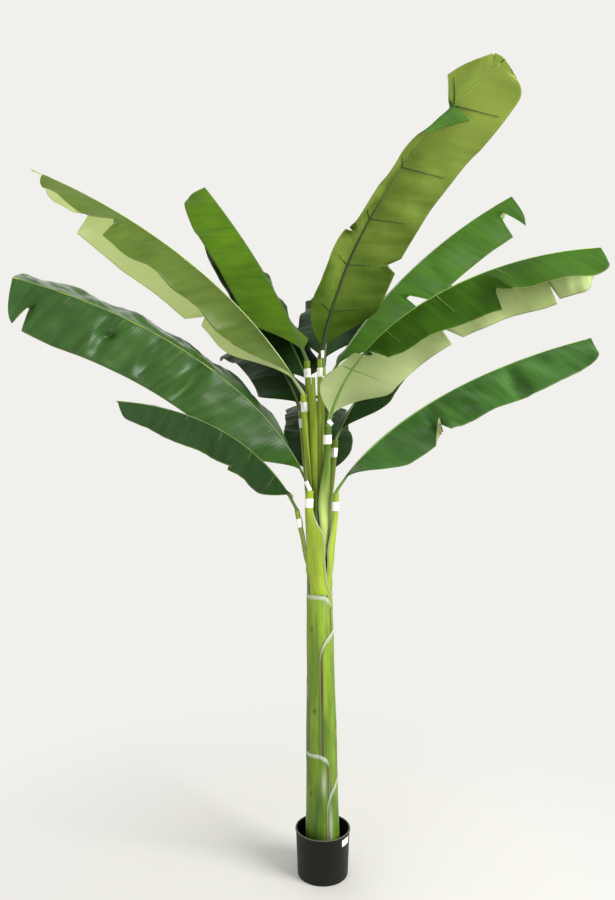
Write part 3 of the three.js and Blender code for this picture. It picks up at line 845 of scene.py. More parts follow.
for number, (name, leaf) in enumerate(LEAVES.items()):
    bm = blade_mesh(leaf, DETAILS[name], seed=SEED_STEP * number)
    blade = make_piece(f"blade_{name}", bm, FINISHES[name], [f"leaf_{name}"])
    shell = thicken(blade, BLADE_THICK, -1)
    shell.material_offset = 1
    shell.material_offset_rim = 1
    print(blade.name, len(blade.data.polygons), "faces")

# %% [markdown]
# ## Ribs and wires
# A wire sheathed in green plastic runs under each blade, and thinner ones branch from it under some
# veins to hold the leaf's bend. Each is a tube through points of the blade's own line, made from one
# grid wrapped round, so that it follows every dent the blade has.

# %% Tubes along a line
def rings_along(points, radii, across, sides):
    """Rings of points square to a line: across is a rough direction for each ring's first point."""
    rings = []
    for index, point in enumerate(points):
        ahead = heading(points, index)
        one = across[index] - ahead * across[index].dot(ahead)
        one.normalize()
        two = ahead.cross(one)
        turns = [2 * math.pi * side / sides for side in range(sides)]
        rings.append([point + (one * math.cos(a) + two * math.sin(a)) * radii[index] for a in turns])
    return rings


def walked(points):
    """The distance along a line at each of its points."""
    lengths = [0.0]
    for one, other in zip(points, points[1:]):
        lengths.append(lengths[-1] + (other - one).length)
    return lengths


def gather(parts):
    """Several bmeshes as one."""
    whole = bmesh.new()
    for part in parts:
        step = bpy.data.meshes.new("step")
        part.to_mesh(step)
        part.free()
        whole.from_mesh(step)
        bpy.data.meshes.remove(step)
    return whole


print("leaf a's stalk is", round(walked(stalk_points(LEAVES["a"], FINE_STEPS))[-1], 3), "m long")

# %% [markdown]
# The wires are dipped in soft plastic. Its colour drifts a little along the wire and settles on its
# lighter tone towards the tip of a long leaf. On one leaf the tip is much paler.

# %% Wire sheath
PALER_FROM, PALER_TO = 0.50, 0.95  # metres along the rib


def plastic(name, base, fleck, roughness, tip=None):
    """Dipped vinyl over wire: soft highlights, in a colour that drifts along it and ends lighter."""
    material, tree = new_material(name)
    wrap = add_node(tree, "UVMap", uv_map="wrap")
    # Flecks 18 to a metre along the wire and 8 once round it.
    run = add_node(tree, "VectorMath", {0: wrap, 1: (18, 8, 1)}, operation="MULTIPLY")
    drift = add_node(tree, "TexNoise", {"Vector": run, "Scale": 1.0, "Detail": 3.0})
    tone = add_node(tree, "MapRange", {0: drift, 1: 0.35, 2: 0.7})
    colour = add_node(tree, "Mix", {0: tone, MIX_A: linear(base), MIX_B: linear(fleck)}, data_type="RGBA")
    along = add_node(tree, "SeparateXYZ", {0: wrap})
    near_tip = add_node(tree, "MapRange", {0: along, 1: PALER_FROM, 2: PALER_TO})
    turned = add_node(
        tree, "Mix", {0: near_tip, MIX_A: colour.outputs[MIX_RESULT], MIX_B: linear(tip or fleck)},
        data_type="RGBA",
    )
    lines = add_node(tree, "Bump", {"Height": drift, "Distance": 0.0008})
    skin = add_node(
        tree, "BsdfPrincipled",
        {"Base Color": turned.outputs[MIX_RESULT], "Roughness": roughness, "Normal": lines},
    )
    add_node(tree, "OutputMaterial", {"Surface": skin})
    return material


# Nearly black at the foot and yellow green at the tip: it draws a dark line through a pale underside.
deep_rib = plastic("deep green wire sheath", "#1E2B0C", "#384819", 0.5, "#8C9F4E")
# A shade darker than the grey undersides, so it only just stands out.
dark_rib = plastic("dark green wire sheath", "#3E5626", "#61783A", 0.45)
# Fresh green, so that the wire stays plain to see on a pale underside.
green_rib = plastic("green wire sheath", "#5F8A2A", "#83AB45", 0.5)
# Pale, so that it hardly shows on the palest underside.
pale_rib = plastic("pale green wire sheath", "#9DB06A", "#C0CC92", 0.5)
print("wire finishes", deep_rib.name, dark_rib.name, green_rib.name, pale_rib.name)

# %% [markdown]
# The rib's wire starts inside the top of the stalk, thins towards the tip and hugs the underside. Side
# wires leave it under a few veins. They stop short of the margin by different amounts, as if cut by hand.

# %% Ribs
RIB_STEPS, RIB_END, RIB_SIDES = 120, 0.985, 12
PLUG = 0.008  # how deep the rib's wire stands in its stalk
WIRE, WIRE_GAP, WIRE_SIDES = 0.0015, 0.0018, 6  # radius of a side wire, and how far it lies below the cloth
WIRE_SHARES = {name: (0.2, 0.36, 0.53, 0.7) for name in LEAVES}
WIRE_SHARES["e"] = (0.15, 0.3, 0.45, 0.62, 0.83)
WIRE_COLUMNS = {"e": 15}  # how many columns a side wire runs under, 11 on the other leaves
STOUT = {"e": 1.5}  # how much stouter a rib is than the others
LOOSE_ENDS = {"c": [0.009, -0.006]}  # bare wire ends past the tip, and how far each bends aside
LOOSE_LENGTH = 0.068
RIB_FINISHES = {"e": deep_rib, "g": green_rib, "c": pale_rib, "h": green_rib}  # dark_rib on the others


def rib_tube(name, leaf):
    """The wire under the middle of a blade, from inside its stalk nearly to the tip."""
    shares = [(step / RIB_STEPS) ** 1.2 * RIB_END for step in range(RIB_STEPS + 1)]
    stout = STOUT.get(name, 1.0)
    radii = [stout * (0.0012 + 0.0030 * (1 - t) ** 1.5) + 0.0024 * math.exp(-t / 0.03) for t in shares]
    line = [
        foot - axes(leaf, t)[2] * (0.75 * radius * smooth(t, 0.0, 0.06))
        for foot, t, radius in zip(rib_points(leaf, shares), shares, radii)
    ]
    stalk = stalk_points(leaf, 40)
    line = [stalk[-1] - heading(stalk, 40) * PLUG, *line]
    radii = [0.75 * leaf["radius"], *radii]
    across = [axes(leaf, t)[1] for t in [0.0, *shares]]
    return tube(rings_along(line, radii, across, RIB_SIDES), walked(line))


def side_wire(name, leaf, number, side, t):
    """A thin wire under one vein."""
    foot = rib_points(leaf, [t])[0]
    along, _, up = axes(leaf, t)
    vein = vein_spots(leaf, DETAILS[name], SEED_STEP * number, t, foot, side)
    reach = WIRE_COLUMNS.get(name, 11) + round(3 * math.sin(5 * t + number))
    wire = [spot - up * WIRE_GAP for spot in [foot, *(spot for spot, _, _ in vein)][:reach]]
    thin = [WIRE * (1 - 0.6 * step / reach) for step in range(reach)]
    return tube(rings_along(wire, thin, [along] * reach, WIRE_SIDES), walked(wire))


def loose_end(leaf, lean):
    """A bare wire end that sticks out past the tip."""
    along, right, up = axes(leaf, 1.0)
    tip = rib_points(leaf, [0.97])[0]
    shares = (0, 0.25, 0.5, 0.75, 1)
    wire = [tip + along * (LOOSE_LENGTH * s) + right * (lean * s * s) - up * 0.001 for s in shares]
    return tube(rings_along(wire, [WIRE] * 5, [up] * 5, 8), walked(wire))


for number, (name, leaf) in enumerate(LEAVES.items()):
    wires = [side_wire(name, leaf, number, side, t) for side in (1, -1) for t in WIRE_SHARES[name]]
    loose = [loose_end(leaf, lean) for lean in LOOSE_ENDS.get(name, [])]
    bm = gather([rib_tube(name, leaf), *wires, *loose])
    make_piece(f"ribs_{name}", bm, [RIB_FINISHES.get(name, dark_rib)], [f"leaf_{name}"])
print(sum(2 * len(shares) for shares in WIRE_SHARES.values()), "side wires")

# %% [markdown]
# ## Stalks
# Low down a stalk is a wide thin sheath that hugs the trunk, like a real banana's; it gathers into a
# round stem higher up. A circle swept along the line would miss that. So each ring is an ellipse whose
# width and thickness change on the way, bent round the trunk where it is wide.

# %% Stalk finish
def sheath_skin(name, light, dark, streak):
    """Painted foam moulded as sheaths: long streaks in the paint, silver-white rims, brown seams."""
    material, tree = new_material(name)
    wrap = add_node(tree, "UVMap", uv_map="wrap")
    # Fibres in the paint: 7 to a metre along, 26 once round. The patches are 6 by 7, so far broader.
    grain = add_node(tree, "VectorMath", {0: wrap, 1: (7, 26, 1)}, operation="MULTIPLY")
    fibres = add_node(tree, "TexNoise", {"Vector": grain, "Scale": 1.0, "Detail": 5.0})
    broad = add_node(tree, "VectorMath", {0: wrap, 1: (6, 7, 1)}, operation="MULTIPLY")
    patches = add_node(tree, "TexNoise", {"Vector": broad, "Scale": 1.0, "Detail": 2.0})
    uneven = add_node(tree, "MapRange", {0: patches, 1: 0.3, 2: 0.7, 3: -0.24, 4: 0.24})
    # The tone mark sets how light the paint is; on the stalks it carries painted light and shade.
    tone = add_node(tree, "Attribute", attribute_name="tone")
    mixed = add_node(tree, "Math", {0: tone.outputs["Fac"], 1: uneven}, operation="ADD", use_clamp=True)
    painted = add_node(
        tree, "Mix", {0: mixed, MIX_A: linear(dark), MIX_B: linear(light)}, data_type="RGBA"
    )
    fibre_mask = add_node(tree, "MapRange", {0: fibres, 1: 0.52, 2: 0.78, 4: 0.5})
    streaked = add_node(
        tree, "Mix", {0: fibre_mask, MIX_A: painted.outputs[MIX_RESULT], MIX_B: linear(streak)},
        data_type="RGBA",
    )
    seam = add_node(tree, "Attribute", attribute_name="seam")
    patchy = add_node(tree, "Math", {0: seam.outputs["Fac"], 1: patches}, operation="MULTIPLY")
    stained = add_node(tree, "MapRange", {0: patchy, 1: 0.0, 2: 0.5})
    seamed = add_node(
        tree, "Mix", {0: stained, MIX_A: streaked.outputs[MIX_RESULT], MIX_B: linear("#3E3320")},
        data_type="RGBA",
    )
    rim = add_node(tree, "Attribute", attribute_name="rim")
    wear = add_node(tree, "MapRange", {0: fibres, 1: 0.25, 2: 0.6, 3: 0.55, 4: 1.0})
    worn = add_node(tree, "Math", {0: rim.outputs["Fac"], 1: wear}, operation="MULTIPLY")
    rimmed = add_node(
        tree, "Mix", {0: worn, MIX_A: seamed.outputs[MIX_RESULT], MIX_B: linear("#A6B1A0")},
        data_type="RGBA",
    )
    relief = add_node(tree, "Bump", {"Height": fibres, "Distance": 0.0016})
    skin = add_node(
        tree, "BsdfPrincipled",
        {"Base Color": rimmed.outputs[MIX_RESULT], "Roughness": 0.5, "Specular IOR Level": 0.25,
         "Normal": relief},
    )
    add_node(tree, "OutputMaterial", {"Surface": skin})
    return material


# Half-matt paint over foam: an olive green that turns lime where its tone mark is high.
trunk_skin = sheath_skin("painted foam sheath", "#8BA62B", "#375716", "#454A1C")
# The same paint, a little yellower, so that the stalks stand out from the trunk behind them.
stalk_skin = sheath_skin("painted stalk", "#97AC2F", "#375314", "#44521C")
# Paler, with less contrast in its streaks, for the stalk of leaf g: the paleness is a painted highlight.
highlight_pale_stalk = sheath_skin("pale painted stalk", "#B0C46A", "#4A6618", "#5E7434")
print("sheath finishes", trunk_skin.name, stalk_skin.name, highlight_pale_stalk.name)

# %% [markdown]
# Where a stalk's sheath lies is a table, one row to a stalk. Three stalks stand in the middle of the
# trunk's top and have no sheath on it. The others are given a foot that merges into the trunk lower down.

# %% Where the sheaths of the stalks lie
RADIUS_LOW, RADIUS_HIGH = 0.057, 0.040  # of the trunk at the cement and at its top
TRUNK_BEND = 0.040  # radius that a wide sheath is bent round
STALK_STEPS, FOOT_STEPS, STALK_SIDES = 60, 16, 28
SHEATH_DEPTH = 0.0060  # half its thickness low down
SHEATH_PROUD, SHEATH_SUNK = 0.0035, 0.012  # how far it stands out of the trunk, and how deep its foot lies
PUSH_HEIGHT = 0.11  # metres above the trunk's top in which a pushed-out stalk comes back to its own line
# Half-width at the foot, the shares of the stalk between which it gathers, the bearing and height at
# which its foot merges into the trunk, how far the wide part sits to the right, and how light the paint
# is at the foot and at the top. That lightness is mostly painted light and shade: dark where leaves shade
# a stalk, pale where the key lamp catches it.
SHEATHS = {
    "a": (0.031, 0.50, 0.88, -108, 0.93, 1.0, 0.90, 0.80),
    "b": (0.016, 0.3, 0.8, -172, 0.99, 0, 0.6, 0.6),
    "c": (0.022, 0.35, 0.95, -150, 1.10, 0.3, 0.10, 1.1),
    "d": (0.0115, 0.0, 0.4, None, None, 0, 0.4, 0.5),
    "e": (0.0105, 0.0, 0.4, None, None, 0, 0.4, 0.6),
    "f": (0.020, 0.0, 0.6, 60, 1.10, 0, 0.4, 0.5),
    "g": (0.025, 0.25, 0.85, -56, 1.06, -0.3, 0.80, 0.0),
    "h": (0.022, 0.35, 0.85, -22, 0.94, -0.5, 0.8, 0.9),
    "i": (0.019, 0.0, 0.6, 105, 1.10, 0, 0.4, 0.5),
    "j": (0.019, 0.0, 0.6, 150, 1.10, 0, 0.4, 0.5),
    "k": (0.020, 0.0, 0.7, 92, 0.97, 0, 0.6, 0.5),
    "l": (0.0105, 0.0, 0.4, None, None, 0, 0.4, 0.5),
    "m": (0.019, 0.0, 0.6, 10, 1.10, 0, 0.4, 0.4),
    "cut": (0.0165, 0.7, 1.0, -104, 1.10, 0, 0.0, 0.85),
}


def up_the_trunk(z):
    """0 where the trunk leaves the cement, and 1 at its top."""
    return max(0.0, (z - TRUNK_FOOT) / (TRUNK_TOP - TRUNK_FOOT))


def trunk_radius(z):
    """Radius of the trunk's solid at a height."""
    return blend(RADIUS_LOW, RADIUS_HIGH, up_the_trunk(z))


def trunk_middle(z):
    """Where the trunk's axis is at a height: it leans a little to the left."""
    return LEAN * up_the_trunk(z)


def round_trunk(reach, angle, z):
    """A spot at a distance and bearing, in radians, from the trunk's axis."""
    return Vector((trunk_middle(z) + reach * math.cos(angle), reach * math.sin(angle), z))


def sheath_line(points, bearing, low):
    """A stalk's points with a foot added that runs on down the outside of the trunk."""
    start = points[0]
    from_axis = Vector((start.x - trunk_middle(start.z), start.y))
    first = math.degrees(math.atan2(from_axis.y, from_axis.x))
    turn = bearing_from(first, bearing)
    top_reach = trunk_radius(start.z) - SHEATH_DEPTH + SHEATH_PROUD
    foot = []
    for step in range(FOOT_STEPS):
        share = step / FOOT_STEPS
        z = blend(low, start.z, share)
        out = blend(-SHEATH_SUNK, SHEATH_PROUD, smooth(z, low + 0.02, low + 0.07))
        angle = math.radians(first + turn * (1 - smooth(share, 0, 1.0)))
        foot.append(round_trunk(trunk_radius(z) - SHEATH_DEPTH + out, angle, z))
    push = Vector((*from_axis.normalized(), 0)) * (top_reach - from_axis.length)
    return foot + [p + push * (1 - smooth(p.z, start.z, start.z + PUSH_HEIGHT)) for p in points]


print(len([row for row in SHEATHS.values() if row[3] is not None]), "sheaths run on down the trunk")

# %% [markdown]
# The stem itself is one tube. Its rings are flat where `depths` is less than `widths`, and bend round the
# trunk there. How flat a ring is also says how much of a pale rim and a dark seam its two edges get.

# %% Stalks


RIM_ENDS = 1.22  # height above which a stalk's pale rims fade


def stalk_mesh(points, widths, depths, shifts, light_shade_tones):
    """A stem of changing width and depth, bent round the trunk where it is wide."""
    rings, rims, seams = [], [], []
    for index, point in enumerate(points):
        ahead = heading(points, index)
        out = Vector((point.x - trunk_middle(min(point.z, TRUNK_TOP)), point.y, 0))
        out -= ahead * out.dot(ahead)
        out.normalize()
        beside = ahead.cross(out)
        fades = 1 - smooth(point.z, RIM_ENDS, RIM_ENDS + 0.10)
        ring, rim, seam = [], [], []
        for side in range(STALK_SIDES):
            turn = 2 * math.pi * side / STALK_SIDES
            x = widths[index] * math.cos(turn) + shifts[index]
            flat = 1 - min(1.0, depths[index] / widths[index])
            y = depths[index] * math.sin(turn) - flat * x * x / (2 * TRUNK_BEND)
            ring.append(point + beside * x + out * y)
            rim.append(fades * min(0.6, 1.3 * flat) * smooth(abs(math.cos(turn)), 0.90, 0.97))
            seam.append(min(1.0, 1.3 * flat) * smooth(abs(math.cos(turn)), 0.78, 0.9) * 0.4)
        rings.append(ring)
        rims.append(rim)
        seams.append(seam)
    shades = [[tone] * STALK_SIDES for tone in light_shade_tones]
    return tube(rings, walked(points), {"rim": rims, "seam": seams, "tone": shades})


def stem(name, leaf, finish, node):
    """One stalk, from the foot of its sheath up to its socket."""
    points = stalk_points(leaf, STALK_STEPS)
    wide, gathers, gathered, bearing, low, skew, light_shade_foot, light_shade_top = SHEATHS[name]
    shares = [step / STALK_STEPS for step in range(STALK_STEPS + 1)]
    if bearing is not None:
        points = sheath_line(points, bearing, low)
        shares = [0.0] * FOOT_STEPS + shares
    full = [smooth(t, gathers, gathered) for t in shares]
    widths = [blend(wide, leaf["radius"], f) for f in full]
    depths = [min(blend(SHEATH_DEPTH, leaf["radius"], f), w) for f, w in zip(full, widths)]
    shifts = [skew * (w - leaf["radius"]) for w in widths]
    # The tone along a stalk paints light and shade: darker where leaves shade it, paler where the key lamp
    # catches it.
    light_shade_tones = [blend(light_shade_foot, light_shade_top, smooth(t, 0.0, 0.7)) for t in shares]
    make_piece(f"stem_{name}", stalk_mesh(points, widths, depths, shifts, light_shade_tones), [finish], [node])


for name, leaf in LEAVES.items():
    stem(name, leaf, highlight_pale_stalk if name == "g" else stalk_skin, f"stalk_{name}")

bare_stalk = dict(outer=240, socket=(-0.034, -0.022, 1.712), radius=0.006)  # cut off, with no leaf
stem("cut", bare_stalk, stalk_skin, "stalk_cut")
print(len(SHEATHS), "stalks")

# %% [markdown]
# ## Paper sleeves and cards
# A strip of white paper is wound round the top of each stalk, and three small cards are tucked in above.
# They are blank. Each is a flat strip given its curve by moving its rows, and a thickness at the end.

# %% Paper
def white_paper():
    """Uncoated paper: quite matt, a little crumpled, and greyer in patches that follow its crumples."""
    material, tree = new_material("uncoated white paper")
    place = add_node(tree, "TexCoord").outputs["Object"]
    # A fibre is 0.02 mm thick, too fine to show: the flecks are drawn 1 mm across, and the crumples 11 mm.
    fibre = add_node(tree, "TexNoise", {"Vector": place, "Scale": 900.0, "Detail": 2.0})
    crumple = add_node(tree, "TexNoise", {"Vector": place, "Scale": 90.0, "Detail": 2.0})
    crumple_grey = add_node(tree, "MapRange", {0: crumple, 1: 0.35, 2: 0.75})
    tint = add_node(
        tree, "Mix", {0: crumple_grey, MIX_A: linear("#F2F1EA"), MIX_B: linear("#DEDCCF")}, data_type="RGBA"
    )
    fine = add_node(tree, "Bump", {"Height": fibre, "Distance": 0.0001})
    creased = add_node(tree, "Bump", {"Height": crumple, "Distance": 0.001, "Normal": fine})
    sheet = add_node(
        tree, "BsdfPrincipled",
        {"Base Color": tint.outputs[MIX_RESULT], "Roughness": 0.85, "Normal": creased},
    )
    add_node(tree, "OutputMaterial", {"Surface": sheet})
    return material


paper = white_paper()


def paper_piece(name, bm, node, thick):
    """A curved strip made into a thin sheet of paper."""
    thicken(make_piece(name, bm, [paper], [node]), thick, 0)


print("paper", paper.name)

# %% [markdown]
# A band goes round its stalk a little more than once, so its radius grows on the way and its end lies
# on its start. The last part of it has come unstuck and stands off.

# %% Paper bands
BAND_LENGTH, BAND_BELOW, BAND_WOUND = 0.032, 0.026, math.radians(415)
BAND_COLUMNS, BAND_ROWS, BAND_THICK = 84, 8, 0.0003
BAND_TURN = 1.9  # radians from where one leaf's band starts to where the next one's does
for number, (name, leaf) in enumerate(LEAVES.items()):
    points = stalk_points(leaf, FINE_STEPS)
    lengths = walked(points)
    middle_at = lengths[-1] - BAND_BELOW - BAND_LENGTH / 2
    index = min(range(len(points)), key=lambda i: abs(lengths[i] - middle_at))
    ahead = heading(points, index)
    beside = ahead.cross(Vector((0, 1, 0))).normalized()
    front = beside.cross(ahead)
    bm = bmesh.new()
    for across, along, vert in grid_verts(bm, BAND_COLUMNS, BAND_ROWS):
        share = across / BAND_COLUMNS
        turn = BAND_WOUND * across / BAND_COLUMNS + number * BAND_TURN
        loose = smooth(share, 0.93, 1.0) * 0.0016
        radius = leaf["radius"] + 0.0007 + 0.0006 * across / BAND_COLUMNS + loose
        skew = 0.0012 * math.sin(turn * 0.5 + number)
        rise = (along / BAND_ROWS - 0.5) * (BAND_LENGTH - 0.001) + skew
        vert.co = points[index] + ahead * rise + (beside * math.cos(turn) + front * math.sin(turn)) * radius
    paper_piece(f"wrap_{name}", bm, f"band_{name}", BAND_THICK)
print(len(LEAVES), "bands")

# %% [markdown]
# A card lies on the rib just above its stalk, bowed a little, and turned as it was pushed in.

# %% Cards
CARD_WIDTH, CARD_HEIGHT, CARD_THICK = 0.014, 0.016, 0.0005  # its height is how far up the rib it lies
CARD_ROWS, CARD_COLUMNS = 16, 8
CARD_OFF = 0.0013  # from the rib's surface to the middle of a card
# Length of each card, its slant, and how far round the rib it lies.
CARDS = {"a": (0.036, 8, 70), "e": (0.027, 12, 0), "g": (0.027, 50, 0)}
for name, (card_length, turn, swing) in CARDS.items():
    leaf = LEAVES[name]
    t = CARD_HEIGHT / leaf["length"]
    along, right, up = axes(leaf, t)
    round_rib = Matrix.Rotation(math.radians(swing), 3, along)
    out, beside = round_rib @ -up, round_rib @ right
    middle = rib_points(leaf, [t])[0] + out * (blend(RIB_FOOT, RIB_TIP, t) + CARD_OFF)
    spin = Matrix.Rotation(math.radians(turn), 3, along.cross(beside))
    bm = bmesh.new()
    for row, column, vert in grid_verts(bm, CARD_ROWS, CARD_COLUMNS):
        lengthways, sideways = row / CARD_ROWS - 0.5, column / CARD_COLUMNS - 0.5
        bow = 0.0016 * (1 - (2 * lengthways) ** 2) + 0.0008 * math.sin(6 * sideways + row * 0.2)
        flat = along * (lengthways * card_length) + beside * (sideways * CARD_WIDTH)
        vert.co = middle + spin @ flat + out * bow
    paper_piece(f"card_{name}", bm, f"tag_{name}", CARD_THICK)
print(len(CARDS), "cards")

# %% [markdown]
# ## Trunk
# The trunk is moulded foam, modelled as leaf sheaths that wrap round each other. Each sheath has a
# rounded top edge and two margins that run on down, a silver-white rim just inside its edge, and a dark
# seam just outside. A rule says how far inside each sheath's edge a spot lies, and from that come its
# thickness, its rim, its seam and how light its paint is. Sheaths are taken from the top down, since each
# lower one lies over those above.

# %% Sheaths of the trunk
SHEATH_STEP = 0.0020  # how far a sheath's edge stands out
RIM_BESIDE, RIM_ABOVE = 0.0045, 0.0165  # width of the pale rim at a sheath's margins and at its top
LAYERS = [  # centre bearing, half angle, height of the top edge, fall of its arc, roundness, lightness
    (-108, 42, 1.26, 0.05, 3, 0.90), (-20, 42, 1.26, 0.05, 3, 0.80), (178, 30, 1.26, 0.05, 3, 0.55),
    (100, 45, 1.26, 0.05, 3, 0.6), (70, 80, 1.02, 0.08, 3, 0.6), (-122, 94, 0.980, 0.060, 4, 0.54),
    (-3, 92, 0.855, 0.10, 2.2, 0.54), (150, 67, 0.69, 0.09, 3, 0.30), (60, 80, 0.55, 0.09, 3, 0.6),
    (-140, 79, 0.438, 0.045, 4, 0.27), (5, 80, 0.345, 0.11, 2, 0.34), (120, 75, 0.22, 0.08, 3, 0.5),
]


def trunk_surface(bearing, z):
    """How far a spot stands out from the plain trunk, and its rim, seam and tone marks."""
    stands, rim, seam, tone = 0.0, 0.0, 0.0, 0.6
    radius = trunk_radius(z)
    for centre, half, top, fall, power, lightness in LAYERS:
        share = min(3.0, abs(bearing_from(centre, bearing)) / half)
        above = max(0.0, (z - (top - fall)) / fall)
        if above > 2:
            continue
        inside = share ** power + above ** 2
        across = power * max(share, 0.05) ** (power - 1) / (math.radians(half) * radius)
        up = 2 * above / fall
        slope = math.hypot(across, up)
        depth = (1 - inside) / slope  # metres inside the sheath's edge
        arc = min(1.0, up / slope * 1.3)  # 1 along its top edge, 0 down its margins
        below = top - fall - z
        cover = smooth(depth, -0.0008, 0.0010)  # 1 where the sheath hides what lies under it
        tone = blend(tone, lightness - 0.22 * smooth(below, 0, 0.3), cover)
        rim_width = blend(RIM_BESIDE, RIM_ABOVE, arc)
        stout = blend(0.35, 1, math.exp(-max(0, depth) / 0.05))
        stands = stands * (1 - 0.25 * cover) + SHEATH_STEP * cover * stout
        lower = math.exp(-max(0.0, below) / 0.30)
        band = smooth(depth, -0.0010, 0.0010) * (1 - smooth(depth, 0.45 * rim_width, 1.25 * rim_width))
        rim = rim * (1 - cover) + band * blend(0.25, 1.0, arc) * blend(0.5, 1.0, lower)
        edge = (1 - smooth(-depth, 0.0008, 0.0045)) * (1 - cover) * blend(0.7, 0.8, arc)
        inner = smooth(depth, 0.0025, 0.0045) * (1 - smooth(depth, 0.007, 0.018)) * (1 - arc) * 0.9
        seam = max(seam * (1 - cover), edge, inner)
    return stands, min(1.0, rim), min(1.0, seam), tone


print(len(LAYERS), "sheaths on the trunk")

# %% [markdown]
# The skin is one fine grid wrapped round the trunk's solid, closed at the top by a few rings that sink
# towards the middle. Foam swells a little as it sets, and its mould was carved with fine ridges. Brown
# bruises are added to the seam marks, since they are the same paint, and pale patches where the key lamp
# shines on the trunk's right front are added to the rim marks as painted highlights.

# %% Trunk
TRUNK_ROWS, TRUNK_SIDES = 420, 144
TRUNK_START = 0.030  # inside the cement
BRUISES = [(-112, 1.115), (-128, 0.865), (-118, 0.585), (-70, 0.40), (-135, 0.30)]  # bearing, height
# Painted highlights: pale patches on the trunk's right front, where the key lamp shines on it.
PAINTED_HIGHLIGHTS = [(-62, 0.19, 0.007, 0.07), (-66, 1.04, 0.005, 0.10), (-84, 0.34, 0.008, 0.04)]  # and size
SINK = 0.002  # of the plain skin below the solid's, so that the sheaths' steps come out level with it
SWELL_HIGH, RIDGE_HIGH, RIDGES = 0.0020, 0.0004, 34
TOP_RINGS = ((0.96, 0.0), (0.85, 0.004), (0.6, 0.008), (0.3, 0.010), (0.05, 0.010))  # share, drop
TOP_MARKS = {"rim": 0.0, "seam": 0.6, "tone": 0.4}
TOP_STEP = 0.006  # metres of the paint's pattern from one of those rings to the next


def trunk_spot(bearing, z):
    """A spot of the trunk's skin, with its rim, seam and tone marks."""
    turn = math.radians(bearing)
    stands, rim, seam, tone = trunk_surface(bearing, z)
    for bruise_bearing, height in BRUISES:
        off = math.radians(bearing_from(bruise_bearing, bearing)) * trunk_radius(z)
        seam = max(seam, 0.8 * math.exp(-(off / 0.004) ** 2 - ((z - height) / 0.009) ** 2))
    # The painted highlights go into the pale rim mark.
    for highlight_bearing, height, wide, tall in PAINTED_HIGHLIGHTS:
        off = math.radians(bearing_from(highlight_bearing, bearing)) * trunk_radius(z)
        rim = max(rim, 0.6 * math.exp(-(off / wide) ** 2 - ((z - height) / tall) ** 2))
    swell = noise.noise(Vector((2.2 * math.cos(turn), 2.2 * math.sin(turn), z * 5))) * SWELL_HIGH
    ridge = RIDGE_HIGH * math.sin(turn * RIDGES + 3 * math.sin(z * 6))
    return round_trunk(trunk_radius(z) + stands - SINK + swell + ridge, turn, z), rim, seam, tone


rings, heights = [], []
marks = {mark: [] for mark in TOP_MARKS}
for row in range(TRUNK_ROWS + 1):
    z = blend(TRUNK_START, TRUNK_TOP, row / TRUNK_ROWS)
    ring, *row_marks = zip(*[trunk_spot(360 * side / TRUNK_SIDES, z) for side in range(TRUNK_SIDES)])
    rings.append(ring)
    heights.append(z)
    for mark, values in zip(marks, row_marks):
        marks[mark].append(values)
top_centre = Vector((LEAN, 0, TRUNK_TOP))
for inward, drop in TOP_RINGS:
    sunk = Vector((0, 0, drop))
    rings.append([top_centre + (spot - top_centre) * inward - sunk for spot in rings[TRUNK_ROWS]])
    heights.append(heights[-1] + TOP_STEP)
    for mark, value in TOP_MARKS.items():
        marks[mark].append([value] * TRUNK_SIDES)
sheaths = make_piece("sheathed_trunk", tube(rings, heights, marks), [trunk_skin], ["trunk"])
print("trunk faces", len(sheaths.data.polygons))

# %% [markdown]
# ## Pot, its weight and its label
# The pot is thin black polypropylene with a rolled lip. It is the same outline all round, so its section
# is drawn once and spun.

# %% Pot
def spun(profile, steps):
    """A section of (radius, height) points spun once round the upright axis."""
    bm = bmesh.new()
    verts = [bm.verts.new((radius, 0, z)) for radius, z in profile]
    edges = [bm.edges.new(pair) for pair in zip(verts, verts[1:])]
    bmesh.ops.spin(
        bm, geom=verts + edges, cent=(0, 0, 0), axis=(0, 0, 1), angle=2 * math.pi, steps=steps,
        use_merge=True,
    )
    bmesh.ops.remove_doubles(bm, verts=bm.verts, dist=1e-6)
    bmesh.ops.recalc_face_normals(bm, faces=bm.faces)
    return bm


